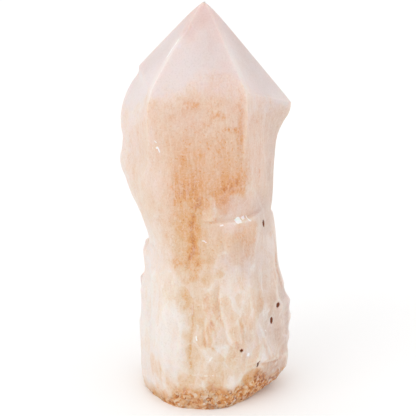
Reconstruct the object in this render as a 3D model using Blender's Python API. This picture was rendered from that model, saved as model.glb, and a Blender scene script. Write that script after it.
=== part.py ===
"""A quartz point: one large six-sided crystal with a pyramid head and smaller ones grown onto its foot.

The crystal stands upright on the flat cut where it was broken from its rock. Z is up, and the origin is on
the cut, at the middle of the outline. The front, azimuth 0, faces -Y, and azimuths turn towards +X.
The tables below are in millimetres and degrees, and the meshes are built in metres.
"""

import math

import bmesh
import bpy
import numpy as np
from mathutils import Matrix, Vector

MM = 0.001

# The head is a six-sided pyramid whose faces would meet at APEX. Wear has rounded the tip down to HEIGHT.
HEIGHT = 149.6
APEX = (-0.3, 0.0, 151.3)
TIP_WEAR, TIP_WEAR_REACH = 1.2, 2.5
TIP_RING_HEIGHT = 149.4

# The six long edges of the crystal, counterclockwise seen from above. Each has the height of its top end,
# at the rim of the head, the azimuth and the distance from the main axis at a few heights, how far the
# panel that follows it swells, and how far the edge itself is worn round.
EDGES = [
    dict(
        name="left", rim=123.8, swell=0.0, wear=0.35,
        azimuth=[(0, -88), (60, -90), (100, -93), (123.8, -105)],
        reach=[
            (0, 23.3), (1.5, 23.8), (4, 24.2), (14, 24.2), (25, 24.6), (35, 25.0), (42, 24.8),
            (47.5, 23.9), (52.3, 24.1), (56.3, 22.4), (59.4, 21.2), (66.6, 23.5), (71.3, 25.2),
            (78.4, 28.2), (83.1, 29.8), (87.8, 31.7), (90.1, 32.0), (94.8, 31.3), (97.9, 31.1),
            (102, 31.7), (107, 31.4), (112, 30.1), (117.8, 27.4), (121.0, 25.4), (123.8, 25.2),
        ],
    ),
    dict(
        name="front left", rim=121.2, swell=1.0, wear=1.0,
        azimuth=[(0, -40), (60, -42), (121.2, -48)],
        reach=[
            (0, 25.2), (2.5, 25.8), (7, 26.5), (20, 27.3), (36, 26.8), (48, 25.6), (58, 24.9),
            (68, 26.0), (78, 28.0), (88, 29.2), (100, 29.4), (110, 28.8), (121.2, 26.9),
        ],
    ),
    dict(
        name="front right", rim=121.6, swell=0.15, wear=1.0,
        azimuth=[(0, 34), (60, 33), (121.6, 35.5)],
        reach=[
            (0, 24.0), (3, 25.4), (8, 26.8), (14, 28.0), (30, 29.0), (48, 27.6), (58, 26.6), (78, 26.6),
            (100, 26.8), (112, 26.6), (121.6, 25.6),
        ],
    ),
    dict(
        name="right", rim=110.8, swell=0.7, wear=0.5,
        azimuth=[(0, 86), (60, 90), (110.8, 95)],
        reach=[
            (0, 21.4), (1, 23.0), (3.3, 26.6), (5.8, 29.0), (10.8, 31.3), (15.7, 31.8), (20.7, 32.0),
            (28, 32.2), (33, 32.4), (35.5, 31.9), (37.8, 31.2), (40.2, 30.4), (45, 29.0), (50, 27.9),
            (55, 27.2), (62, 26.2), (66.6, 25.6), (70, 24.9), (74, 25.7), (80, 26.4), (90, 26.2),
            (95, 26.1), (98, 26.5), (101, 27.6), (104.1, 29.2), (106, 30.5), (108.5, 31.6),
            (110.8, 31.9),
        ],
    ),
    dict(
        name="back right", rim=114.0, swell=0.8, wear=1.0,
        azimuth=[(0, 140), (60, 142), (114, 150)],
        reach=[
            (0, 23.0), (4, 26.2), (20, 28.4), (40, 27.2), (60, 25.4), (80, 26.4), (98, 28.6),
            (114, 30.4),
        ],
    ),
    dict(
        name="back left", rim=117.0, swell=0.5, wear=1.0,
        azimuth=[(0, 214), (60, 212), (117, 200)],
        reach=[
            (0, 22.5), (4, 25.6), (20, 27.6), (40, 26.4), (56, 24.6), (70, 26.0), (86, 28.4),
            (100, 29.6), (117, 29.4),
        ],
    ),
]
# How far the fullest panel swells out of flat between its two edges, at a few heights.
SWELL = [
    (0, 4.8), (8, 4.6), (30, 3.8), (55, 3.0), (80, 3.4), (100, 2.6), (112, 1.2), (118, 0.2), (125, 0.0),
]
# The edges are worn round from a little under their top ends downwards.
EDGE_WEAR, EDGE_WEAR_HALF_WIDTH = 1.5, 7.0
EDGE_WEAR_START, EDGE_WEAR_FADE = 4.0, 22.0

# Broad lumps and shell-shaped chips. Both start below ROUGH_TOP, so that the faces of the head stay flat,
# and the chips are deepest below LOWER_TOP, where the crystal is most broken.
ROUGH_TOP, ROUGH_FADE = 114.0, 16.0
LOWER_TOP, LOWER_FADE = 62.0, 14.0
LUMP_SIZE, LUMP_RELIEF, LUMP_SEED = 16.0, 0.6, 3
CHIP_SIZE, CHIP_RELIEF, CHIP_SEED = 13.0, 1.5, 4
CHIP_MEAN, CHIP_UPPER_SHARE = 0.35, 0.35
CHIP_BOX = ((-36, -36, -6), (36, 36, 130))
WARP_SIZE, WARP_DEGREES, WARP_HEIGHT, WARP_SEEDS = 7.0, 2.2, 0.9, (11, 12)

# Ridges and valleys between crystals grown side by side: path of (azimuth, height), rise (negative for a
# valley), width to the left and to the right of it.
RIDGES = [
    ([(-10, 47), (-10.8, 34), (-12.3, 26.5), (-13.4, 10)], -0.8, 5.0, 4.0),
    ([(-33, 54), (-34, 36), (-33, 12)], 0.9, 7.0, 8.0),
    ([(-62, 54), (-63, 34), (-61, 10)], -0.9, 7.0, 6.0),
    ([(38, 54), (40, 34), (37, 16)], 0.9, 6.0, 6.0),
    ([(74, 60), (73, 44), (76, 30)], 1.0, 6.0, 7.0),
    ([(-26, 108), (-28, 90), (-25, 66)], 0.5, 9.0, 9.0),
    ([(4, 104), (3, 94), (1, 84)], 0.5, 8.0, 8.0),
    ([(104, 56), (102, 34), (106, 12)], -1.4, 6.0, 6.0),
    ([(172, 60), (174, 36), (170, 10)], -1.8, 7.0, 7.0),
    ([(218, 52), (216, 32), (219, 10)], -1.6, 6.0, 7.0),
    ([(248, 100), (246, 84), (250, 66)], 0.7, 9.0, 9.0),
    ([(166, 88), (169, 78), (164, 68)], -0.9, 7.0, 8.0),
]
# Ledges, where one break surface stands above the next: path, drop on its right-hand side (negative for a
# step up) and the distance over which the ground comes back.
LEDGES = [
    ([(11.5, 50), (11.9, 43.5), (14, 36.2), (19.8, 28.4), (25.5, 22)], 0.7, 7.0),
    ([(0.8, 38), (0.5, 30), (1.2, 24)], 0.55, 3.0),
    ([(3.5, 37.5), (7.5, 32.6), (8.9, 27.9), (4.5, 24.4)], -0.3, 3.0),
    ([(25, 37), (29, 30), (31, 24)], -0.4, 3.0),
    ([(32.5, 119), (32, 104), (31, 92)], 0.4, 6.0),
    ([(63.5, 114), (62.5, 100), (60, 90)], -0.5, 5.0),
    ([(15.8, 73.4), (16.2, 67), (19.6, 58)], 0.35, 7.0),
    ([(42, 56), (47, 63), (52, 70)], -0.35, 4.0),
    ([(-42, 56.5), (-52, 58.5), (-62, 60), (-88, 58.5)], -0.6, 9.0),
    ([(64, 15), (55.3, 22), (48.5, 31.5)], -0.6, 9.0),
    ([(78, 13.5), (62, 15), (47, 16)], -0.8, 4.0),
    ([(118, 62), (136, 55), (158, 60)], -1.4, 10.0),
    ([(222, 60), (246, 54), (266, 59)], -1.2, 9.0),
]
# Spurs, small wedge-shaped tips: the tip, the left foot and the right foot as (azimuth, height), then how
# steeply the left and the right face rise.
SPURS = [
    ((4.8, 85.5), (-5.5, 74.2), (10.0, 73.8), 0.18, 0.45),
    ((44, 39.0), (30, 18.0), (64, 16.0), 0.13, 0.13),
]
# Conchoidal scars, hollow like a shell: azimuth, height, half width, half height, depth, and the height of
# the ledge that cuts the hollow off below, or 0 where none does.
SCARS = [
    (36, 72.5, 15.0, 14.6, 1.6, 73.2),
    (18, 17.5, 8.5, 8.0, 0.8, 0),
    (7, 8.4, 6.0, 3.6, 0.5, 0),
    (-26, 11.0, 6.0, 6.5, 0.8, 0),
    (-60, 0.5, 9.0, 7.0, 1.3, 0),
    (44, 11.0, 6.0, 4.4, 1.0, 0),
    (88, 38.0, 4.0, 2.6, 0.5, 0),
    (87, 31.5, 4.0, 3.2, 0.6, 0),
    (86, 24.0, 4.0, 3.0, 0.6, 0),
    (84, 16.5, 4.0, 3.0, 0.6, 0),
    (-64, 98.0, 7.5, 12.0, 0.8, 0),
    (108, 80.0, 9.0, 17.0, 1.8, 68.0),
    (128, 22.0, 10.0, 9.0, 1.4, 0),
    (184, 96.0, 12.0, 13.0, 1.6, 90.0),
    (232, 82.0, 8.0, 16.0, 1.4, 0),
    (254, 34.0, 8.0, 12.0, 1.2, 0),
]
# Creases: path, half width and depth.
CREASES = [
    (
        [(-4.8, 83.7), (-8.3, 79), (-12, 72.8), (-11.1, 66), (-11.4, 62), (-17.3, 56.8), (-22.5, 52.6)],
        1.2, 0.3,
    ),
    ([(84, 64), (88, 52), (84, 38)], 1.2, 0.6),
    ([(256, 30), (258, 20), (254, 10)], 1.2, 0.8),
]
# The foot is broken away all round: no relief stands further out than the base plus this share of the
# height.
FOOT_SPREAD = 0.25

# Smaller crystals grown onto the lower half: azimuth and height of the tip, its distance from the main
# axis, half the width across the flats, turn about their own axis, and lean outwards.
CRYSTALS = {
    "crystal_back_right": (150, 58, 25.5, 6.5, 8, 6),
    "crystal_back": (186, 76, 24.0, 7.5, 20, 4),
    "crystal_back_left": (232, 46, 23.5, 6.0, 5, 6),
    "crystal_right": (114, 38, 26.5, 6.0, 14, 8),
}
PYRAMID_SLOPE = 51.8
# They are broken away at the foot along a cone that widens upwards at 45 degrees.
CRYSTAL_FOOT_RADIUS, CRYSTAL_FOOT_HEIGHT, CRYSTAL_FOOT_RISE = 19.0, 1.0, 90.0

# Pits left by grains that have weathered out: azimuth, height, half width, half height and depth.
PITS = {
    "pit_under_scar": (65.2, 68.3, 0.62, 1.05, 1.6),
    "pit_right_high": (72.1, 35.5, 0.60, 0.80, 1.3),
    "pit_right_low": (64.9, 30.5, 0.75, 0.95, 1.5),
    "pit_foot": (47.6, 15.7, 0.45, 1.10, 1.2),
    "pit_middle": (29.9, 23.3, 0.45, 0.45, 0.8),
    "pit_back_high": (150, 80.0, 0.70, 0.90, 1.4),
    "pit_back_left": (214, 64.0, 0.65, 0.85, 1.3),
    "pit_right_side": (98, 48.0, 0.60, 0.80, 1.2),
}

# Moves the middle of the crystal's outline to the origin.
CENTRE_SHIFT = (-0.35, -2.2)

# The mesh: columns of faces across each panel, rows on the head and rows down the body.
PANEL_COLUMNS = (12, 17, 12, 11, 11, 11)
HEAD_ROWS = 6
BODY_ROWS = 48
AROUND = 26.0


def curve(at, points):
    """Smooth cubic through (place, value) pairs, level at every local high and low."""
    places, values = np.array(points, float).T
    steps = np.diff(values) / np.diff(places)
    slopes = np.gradient(values, places)
    slopes[1:-1] = np.where(steps[1:] * steps[:-1] <= 0, 0.0, slopes[1:-1])
    i = np.clip(np.searchsorted(places, at) - 1, 0, len(places) - 2)
    gap = places[i + 1] - places[i]
    t = np.clip((at - places[i]) / gap, 0, 1)
    start = (1 + 2 * t) * (1 - t) ** 2 * values[i] + t * (1 - t) ** 2 * gap * slopes[i]
    end = t * t * (3 - 2 * t) * values[i + 1] + t * t * (t - 1) * gap * slopes[i + 1]
    return start + end


def smooth(x):
    """Rises from 0 to 1 with no corner at either end."""
    x = np.clip(x, 0, 1)
    return x * x * (3 - 2 * x)


def across(azimuth, start):
    """Millimetres along the surface from one azimuth to another, the short way round."""
    return np.radians((azimuth - start + 180) % 360 - 180) * AROUND


def lumps(points, size, seed):
    """Smooth noise from -1 to 1: random values on a lattice, blended between its corners."""
    cells = 24
    lattice = np.random.default_rng(seed).uniform(-1, 1, (cells, cells, cells))
    place = points / size + 100.0
    low = np.floor(place).astype(int)
    share = smooth(place - low)
    total = 0.0
    for corner in range(8):
        step = np.array([corner & 1, corner >> 1 & 1, corner >> 2 & 1])
        weight = np.where(step, share, 1 - share).prod(-1)
        i = (low + step) % cells
        total = total + weight * lattice[i[..., 0], i[..., 1], i[..., 2]]
    return total


def chips(points, size, seed, tall=1.5, tilt=0.7, highest=1.6):
    """Shell-shaped chips: the lowest of many bowls, so hollows of about this size meet in sharp ridges."""
    random = np.random.default_rng(seed)
    low, high = np.array(CHIP_BOX, float)
    count = int((high - low).prod() / (size**3 * tall))
    stretch = np.array([1, 1, 1 / tall]) / size
    centres = random.uniform(low, high, (count, 3)) * stretch
    slopes = random.uniform(-tilt, tilt, (count, 3))
    place = points * stretch
    lowest = np.full(place.shape[:-1], highest)
    for centre, slope in zip(centres, slopes):
        away = place - centre
        lowest = np.minimum(lowest, (away * away).sum(-1) + away @ slope)
    return lowest


def path_field(azimuth, height, path):
    """Signed distance to a path, positive on its right seen from outside, and place along it, 0 to 1."""
    start = path[0][0]
    u = across(azimuth, start)
    corners = [(across(a, start), h) for a, h in path]
    total = sum(math.dist(a, b) for a, b in zip(corners, corners[1:]))
    nearest = np.full(np.shape(u), np.inf)
    signed = np.zeros(np.shape(u))
    along = np.zeros(np.shape(u))
    passed = 0.0
    for (u0, h0), (u1, h1) in zip(corners, corners[1:]):
        length = math.dist((u0, h0), (u1, h1))
        du, dh = (u1 - u0) / length, (h1 - h0) / length
        run = np.clip((u - u0) * du + (height - h0) * dh, 0, length)
        off_u, off_h = u - u0 - run * du, height - h0 - run * dh
        gap = np.hypot(off_u, off_h)
        side = np.where(du * off_h - dh * off_u >= 0, -1.0, 1.0)
        closer = gap < nearest
        nearest = np.where(closer, gap, nearest)
        signed = np.where(closer, side * gap, signed)
        along = np.where(closer, (passed + run) / total, along)
        passed += length
    return signed, along


def ridge(azimuth, height, path, rise, left, right, fade=0.3):
    """A roof-shaped fold along a path, fading out at both ends."""
    signed, along = path_field(azimuth, height, path)
    ends = smooth(along / fade) * smooth((1 - along) / fade)
    width = np.where(signed > 0, right, left)
    return rise * ends * np.clip(1 - np.abs(signed) / width, 0, 1)


def ledge(azimuth, height, path, drop, recover, fade=0.2, step=1.1):
    """A step down to the right of a path, from which the ground slowly comes back."""
    signed, along = path_field(azimuth, height, path)
    ends = smooth(along / fade) * smooth((1 - along) / fade)
    riser = smooth(signed / step + 0.5)
    return -drop * ends * riser * np.exp(-np.maximum(signed, 0) / recover)


def crease(azimuth, height, path, half_width, depth, fade=0.15):
    """A narrow groove along a path."""
    signed, along = path_field(azimuth, height, path)
    ends = smooth(along / fade) * smooth((1 - along) / fade)
    return -depth * ends * np.exp(-np.abs(signed) / half_width)


def spur(azimuth, height, tip, left, right, rise_left, rise_right, foot_fade=0.9):
    """A wedge with two flat faces that meet in a ridge, widening from its tip down to its feet."""
    u = across(azimuth, tip[0])
    foot = min(left[1], right[1])
    u_left = across(left[0], tip[0]) * np.clip((tip[1] - height) / (tip[1] - left[1]), 0, 1)
    u_right = across(right[0], tip[0]) * np.clip((tip[1] - height) / (tip[1] - right[1]), 0, 1)
    rise = np.minimum((u - u_left) * rise_left, (u_right - u) * rise_right)
    return np.maximum(rise, 0) * smooth((height - foot) / foot_fade) * (height < tip[1])


def scar(azimuth, height, at, middle, half_width, half_height, depth, ledge_height, step=1.2):
    """A bowl with a sharp rim, cut off below by a ledge."""
    u = across(azimuth, at) / half_width
    v = (height - middle) / half_height
    above_ledge = smooth((height - ledge_height) / step) if ledge_height else 1.0
    return -depth * np.clip(1 - u * u - v * v, 0, 1) * above_ledge


def loft(spacing=1.5):
    """Rows of points from the tip down to the base: the head, then the panels between the six edges."""
    down = np.linspace(0, 1, BODY_ROWS)
    lines = []
    for edge in EDGES:
        height = edge["rim"] * (1 - down)
        azimuth = np.radians(curve(height, edge["azimuth"]))
        reach = curve(height, edge["reach"])
        lines.append(np.stack([reach * np.sin(azimuth), -reach * np.cos(azimuth), height], -1))
    panels = []
    for k, count in enumerate(PANEL_COLUMNS):
        start, stop = lines[k], lines[(k + 1) % len(lines)]
        share = np.linspace(0, 1, count, endpoint=False)[None, :, None]
        panel = start[:, None] * (1 - share) + stop[:, None] * share
        outward = np.stack([stop[:, 1] - start[:, 1], start[:, 0] - stop[:, 0]], -1)
        outward /= np.linalg.norm(outward, axis=1, keepdims=True)
        swell = EDGES[k]["swell"] * curve(panel[..., 2], SWELL) * 4 * (share * (1 - share))[..., 0]
        panel[..., :2] += outward[:, None] * swell[..., None]
        panels.append(panel)
    body = np.concatenate(panels, 1)
    apex = np.array(APEX)
    first = (apex[2] - TIP_RING_HEIGHT) / (apex[2] - body[0, :, 2])
    t = first + (1 - first) * (np.arange(HEAD_ROWS)[:, None] / HEAD_ROWS) ** spacing
    head = apex + t[..., None] * (body[0] - apex)
    away = head[..., :2] - apex[:2]
    reach = np.linalg.norm(away, axis=-1, keepdims=True)
    wear = TIP_WEAR * np.exp((head[..., 2:] - HEIGHT) / TIP_WEAR_REACH)
    head[..., :2] = apex[:2] + away * np.maximum(reach - wear, 0.1) / reach
    return np.concatenate([head, body])


def carve(grid):
    """Moves each point of the loft out or in: wear, lumps, chips, ridges, ledges, spurs and scars."""
    x, y, height = grid[..., 0], grid[..., 1], grid[..., 2]
    azimuth = np.degrees(np.arctan2(x, -y))
    plain = np.hypot(x, y)
    reach = plain.copy()
    rough = smooth((ROUGH_TOP - height) / ROUGH_FADE)
    low = smooth((LOWER_TOP - height) / LOWER_FADE)
    for edge in EDGES:
        gap = np.abs(across(azimuth, curve(height, edge["azimuth"])))
        wear = EDGE_WEAR * edge["wear"] * smooth((edge["rim"] - EDGE_WEAR_START - height) / EDGE_WEAR_FADE)
        reach -= wear * np.clip(1 - gap / EDGE_WEAR_HALF_WIDTH, 0, 1) ** 2
    reach += rough * LUMP_RELIEF * lumps(grid, LUMP_SIZE, LUMP_SEED)
    broken = CHIP_UPPER_SHARE + (1 - CHIP_UPPER_SHARE) * low
    reach += rough * broken * CHIP_RELIEF * (chips(grid, CHIP_SIZE, CHIP_SEED) - CHIP_MEAN)
    # everything that follows a path or has a centre is bent a little, so that no line runs straight
    bent_azimuth = azimuth + rough * WARP_DEGREES * lumps(grid, WARP_SIZE, WARP_SEEDS[0])
    bent_height = height + rough * WARP_HEIGHT * lumps(grid, WARP_SIZE, WARP_SEEDS[1])
    for form, table in ((ridge, RIDGES), (ledge, LEDGES), (spur, SPURS), (scar, SCARS), (crease, CREASES)):
        for values in table:
            reach += form(bent_azimuth, bent_height, *values)
    reach = np.minimum(reach, plain + FOOT_SPREAD * height)
    scale = reach / plain
    return np.stack([x * scale + CENTRE_SHIFT[0], y * scale + CENTRE_SHIFT[1], height], -1)


def mesh_object(name, shape, collection):
    mesh = bpy.data.meshes.new(name)
    shape.to_mesh(mesh)
    shape.free()
    obj = bpy.data.objects.new(name, mesh)
    collection.objects.link(obj)
    return obj


def lofted_point(grid, collection):
    """Quads between the rows of the grid, a fan at the tip and a flat fan under the base."""
    rows, columns, _ = grid.shape
    shape = bmesh.new()
    rings = [[shape.verts.new(point * MM) for point in row] for row in grid]
    tip = shape.verts.new(Vector((APEX[0] + CENTRE_SHIFT[0], APEX[1] + CENTRE_SHIFT[1], HEIGHT)) * MM)
    base = shape.verts.new((0, 0, 0))
    for k in range(columns):
        after = (k + 1) % columns
        shape.faces.new((tip, rings[0][k], rings[0][after]))
        shape.faces.new((base, rings[-1][after], rings[-1][k]))
        for upper, lower in zip(rings, rings[1:]):
            shape.faces.new((upper[k], lower[k], lower[after], upper[after]))
    return mesh_object("quartz_point", shape, collection)


def on_surface(azimuth, height, reach):
    """A point of the part by azimuth, height and distance from the main axis, in metres."""
    turn = math.radians(azimuth)
    x = reach * math.sin(turn) + CENTRE_SHIFT[0]
    y = -reach * math.cos(turn) + CENTRE_SHIFT[1]
    return Vector((x, y, height)) * MM


def small_crystal(name, values, collection):
    """A six-sided prism with a pyramid on top, leaning outwards, its lower end inside the main crystal."""
    azimuth, tip_height, tip_reach, half_width, turn, lean = values
    corner = half_width / math.cos(math.radians(30))
    head = half_width * math.tan(math.radians(PYRAMID_SLOPE))
    shape = bmesh.new()
    cone = bmesh.ops.create_cone(
        shape, cap_ends=True, segments=6, radius1=corner * MM, radius2=0, depth=head * MM,
        matrix=Matrix.Translation((0, 0, -head / 2 * MM)),
    )
    foot_ring = [v for v in cone["verts"] if v.co.z < -head / 2 * MM]
    cap = next(f for f in shape.faces if all(v in foot_ring for v in f.verts))
    lower = bmesh.ops.extrude_face_region(shape, geom=[cap])["geom"]
    moved = [v for v in lower if isinstance(v, bmesh.types.BMVert)]
    prism = tip_height - head - CRYSTAL_FOOT_HEIGHT
    bmesh.ops.translate(shape, verts=moved, vec=(0, 0, -prism * MM))
    bmesh.ops.delete(shape, geom=[cap], context="FACES_ONLY")
    bmesh.ops.recalc_face_normals(shape, faces=shape.faces)
    crystal = mesh_object(name, shape, collection)
    place = Matrix.Translation(on_surface(azimuth, tip_height, tip_reach))
    outwards = Matrix.Rotation(math.radians(azimuth), 4, "Z") @ Matrix.Rotation(math.radians(lean), 4, "X")
    crystal.matrix_world = place @ outwards @ Matrix.Rotation(math.radians(turn), 4, "Z")
    return crystal


def crystal_foot(collection):
    """The cone inside which the smaller crystals are left standing."""
    middle = (CENTRE_SHIFT[0], CENTRE_SHIFT[1], CRYSTAL_FOOT_HEIGHT + CRYSTAL_FOOT_RISE / 2)
    shape = bmesh.new()
    bmesh.ops.create_cone(
        shape, cap_ends=True, segments=48, radius1=CRYSTAL_FOOT_RADIUS * MM,
        radius2=(CRYSTAL_FOOT_RADIUS + CRYSTAL_FOOT_RISE) * MM, depth=CRYSTAL_FOOT_RISE * MM,
        matrix=Matrix.Translation(Vector(middle) * MM),
    )
    return mesh_object("crystal_foot", shape, collection)


def pit_cutter(name, values, reach, collection):
    """An egg-shaped cutter centred on the surface, its long half pointing inwards."""
    azimuth, height, half_width, half_height, depth = values
    shape = bmesh.new()
    bmesh.ops.create_uvsphere(shape, u_segments=8, v_segments=6, radius=MM)
    bmesh.ops.scale(shape, vec=(half_width, depth, half_height), verts=shape.verts)
    cutter = mesh_object(name, shape, collection)
    cutter.matrix_world = Matrix.Translation(on_surface(azimuth, height, reach)) @ Matrix.Rotation(
        math.radians(azimuth), 4, "Z"
    )
    return cutter


def reach_at(grid, azimuth, height):
    """Distance from the main axis to the carved surface at one azimuth and height."""
    x, y = grid[..., 0] - CENTRE_SHIFT[0], grid[..., 1] - CENTRE_SHIFT[1]
    gap = across(np.degrees(np.arctan2(x, -y)), azimuth)
    nearest = np.argmin(gap**2 + (grid[..., 2] - height) ** 2)
    return float(np.hypot(x, y).flat[nearest])


def hide(obj):
    obj.hide_render = True
    obj.display_type = "WIRE"


def add_boolean(obj, other, operation):
    modifier = obj.modifiers.new(other.name, "BOOLEAN")
    modifier.operation = operation
    modifier.solver = "EXACT"
    modifier.object = other


def quartz_material():
    material = bpy.data.materials.new("milky_quartz")
    material.use_nodes = True
    shader = material.node_tree.nodes["Principled BSDF"]
    shader.inputs["Base Color"].default_value = (0.80, 0.58, 0.45, 1)
    shader.inputs["Roughness"].default_value = 0.3
    shader.inputs["Metallic"].default_value = 0.0
    shader.inputs["IOR"].default_value = 1.544
    return material


def build():
    for obj in list(bpy.data.objects):
        bpy.data.objects.remove(obj)
    parts = bpy.data.collections.new("quartz_point")
    helpers = bpy.data.collections.new("helpers")
    bpy.context.scene.collection.children.link(parts)
    bpy.context.scene.collection.children.link(helpers)

    grid = carve(loft())
    point = lofted_point(grid, parts)
    point.data.materials.append(quartz_material())
    foot = crystal_foot(helpers)
    hide(foot)
    for name, values in CRYSTALS.items():
        crystal = small_crystal(name, values, helpers)
        hide(crystal)
        add_boolean(crystal, foot, "INTERSECT")
        add_boolean(point, crystal, "UNION")
    for name, values in PITS.items():
        cutter = pit_cutter(name, values, reach_at(grid, values[0], values[1]), helpers)
        hide(cutter)
        add_boolean(point, cutter, "DIFFERENCE")


build()
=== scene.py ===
# %% [markdown]
# # A quartz point
#
# This lesson dresses one natural crystal: a milky quartz point with a six-sided pyramid head, a waisted body
# full of shell-shaped breaks, and an ochre crust at the foot where it was broken from its rock. The packed
# model is the frame. It already has the true size and place, so everything below is worked out in the same
# coordinates and nothing has to be fitted afterwards. Lengths are in millimetres until a mesh is built.

# %% Load the frame
import math

import bpy
import numpy as np
from mathutils import Matrix, Vector


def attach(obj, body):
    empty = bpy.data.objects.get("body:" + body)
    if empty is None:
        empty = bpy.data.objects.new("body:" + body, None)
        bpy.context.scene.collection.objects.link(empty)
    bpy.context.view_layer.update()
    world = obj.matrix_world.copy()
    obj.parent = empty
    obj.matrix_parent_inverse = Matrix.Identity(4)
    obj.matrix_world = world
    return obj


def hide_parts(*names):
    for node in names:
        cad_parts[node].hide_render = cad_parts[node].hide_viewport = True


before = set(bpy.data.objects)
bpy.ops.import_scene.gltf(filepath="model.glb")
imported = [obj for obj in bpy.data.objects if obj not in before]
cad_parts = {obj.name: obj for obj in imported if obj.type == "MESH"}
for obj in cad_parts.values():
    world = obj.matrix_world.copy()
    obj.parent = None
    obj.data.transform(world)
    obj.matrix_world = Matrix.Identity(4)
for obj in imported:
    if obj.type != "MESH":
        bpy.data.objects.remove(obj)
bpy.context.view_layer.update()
MM = 0.001

# %% [markdown]
# ## The camera
#
# The photograph looks down on the crystal by about 20 degrees from some way off, which is what a long lens
# does on a table-top stand. The camera stands on a line from the point it aims at. That point is a little
# below and to the right of the middle of the crystal, because the crystal fills the picture from its upper
# edge down and stands slightly left of centre.

# %% Place the camera
VIEW_ELEVATION = math.radians(20.0)
VIEW_DISTANCE = 900.0 * MM
PIXELS_PER_MM = 2.705
IMAGE_WIDTH = 416
SENSOR_WIDTH = 36.0
AIM = Vector((0.7, -3.6, 71.2)) * MM

camera_data = bpy.data.cameras.new("camera")
camera_data.sensor_width = SENSOR_WIDTH
camera_data.lens = SENSOR_WIDTH * PIXELS_PER_MM * VIEW_DISTANCE / MM / IMAGE_WIDTH
camera = bpy.data.objects.new("camera", camera_data)
bpy.context.scene.collection.objects.link(camera)
backwards = Vector((0.0, -math.cos(VIEW_ELEVATION), math.sin(VIEW_ELEVATION)))
camera.location = AIM + backwards * VIEW_DISTANCE
camera.rotation_euler = backwards.to_track_quat("Z", "Y").to_euler()
bpy.context.scene.camera = camera
print("lens in mm:", round(camera_data.lens, 1))

# %% [markdown]
# ## Floor and light
#
# The crystal was photographed on white, in light that comes softly from everywhere. A pale floor and a white
# sky give that. One broad lamp from the upper left adds the direction that makes the left faces of the head
# paler than the right ones.

# %% Make the floor and the lights
SKY_STRENGTH = 1.04
FLOOR_SIZE = 8.0
FLOOR_WHITE, FLOOR_ROUGHNESS = 0.96, 0.9
KEY_PLACE, KEY_SIZE, KEY_WATTS = (-0.75, -0.75, 0.95), 0.8, 2.4

half = FLOOR_SIZE / 2
floor_mesh = bpy.data.meshes.new("floor")
floor_corners = [(-half, -half, 0), (half, -half, 0), (half, half, 0), (-half, half, 0)]
floor_mesh.from_pydata(floor_corners, [], [(0, 1, 2, 3)])
floor = bpy.data.objects.new("floor", floor_mesh)
bpy.context.scene.collection.objects.link(floor)
paper = bpy.data.materials.new("white_paper")
paper.use_nodes = True
paper.node_tree.nodes["Principled BSDF"].inputs["Base Color"].default_value = (*[FLOOR_WHITE] * 3, 1)
paper.node_tree.nodes["Principled BSDF"].inputs["Roughness"].default_value = FLOOR_ROUGHNESS
floor_mesh.materials.append(paper)

world = bpy.data.worlds.new("white_sky")
world.use_nodes = True
world.node_tree.nodes["Background"].inputs["Color"].default_value = (1, 1, 1, 1)
world.node_tree.nodes["Background"].inputs["Strength"].default_value = SKY_STRENGTH
bpy.context.scene.world = world
bpy.context.scene.view_settings.view_transform = "Standard"

key_light = bpy.data.lights.new("key_light", "AREA")
key_light.size = KEY_SIZE
key_light.energy = KEY_WATTS
key = bpy.data.objects.new("key_light", key_light)
key.location = KEY_PLACE
key.rotation_euler = (Vector(KEY_PLACE) - AIM).to_track_quat("Z", "Y").to_euler()
bpy.context.scene.collection.objects.link(key)

# %% [markdown]
# ## Small mathematical tools
#
# Every outline of the crystal is a smooth curve through a few measured points, and every soft border is a
# smooth step. Azimuths are in degrees seen from above: 0 faces the viewer and they grow towards the right.
# Distances along the surface are measured at one mean distance from the axis, which is close enough on a
# body that is nearly as deep as it is wide.

# %% Smooth curves, steps and distances
AROUND = 26.0


def curve(at, points):
    """Smooth cubic through (place, value) pairs, level at every local high and low."""
    places, values = np.array(points, float).T
    steps = np.diff(values) / np.diff(places)
    slopes = np.gradient(values, places)
    slopes[1:-1] = np.where(steps[1:] * steps[:-1] <= 0, 0.0, slopes[1:-1])
    i = np.clip(np.searchsorted(places, at) - 1, 0, len(places) - 2)
    gap = places[i + 1] - places[i]
    t = np.clip((at - places[i]) / gap, 0, 1)
    start = (1 + 2 * t) * (1 - t) ** 2 * values[i] + t * (1 - t) ** 2 * gap * slopes[i]
    end = t * t * (3 - 2 * t) * values[i + 1] + t * t * (t - 1) * gap * slopes[i + 1]
    return start + end


def smooth(x):
    """Rises from 0 to 1 with no corner at either end."""
    x = np.clip(x, 0, 1)
    return x * x * (3 - 2 * x)


def across(azimuth, start):
    """Millimetres along the surface from one azimuth to another, the short way round."""
    return np.radians((azimuth - start + 180) % 360 - 180) * AROUND

# %% [markdown]
# ## The six edges
#
# Quartz grows as a six-sided prism under a six-sided pyramid. Here the prism has swollen, shrunk to a waist
# and been broken, so each of its six long edges is a curve of its own: an azimuth and a distance from the
# main axis at several heights. A loft between unlike sections is the honest way to build it. The same numbers
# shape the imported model, so the dressed crystal lies on it.

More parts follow.
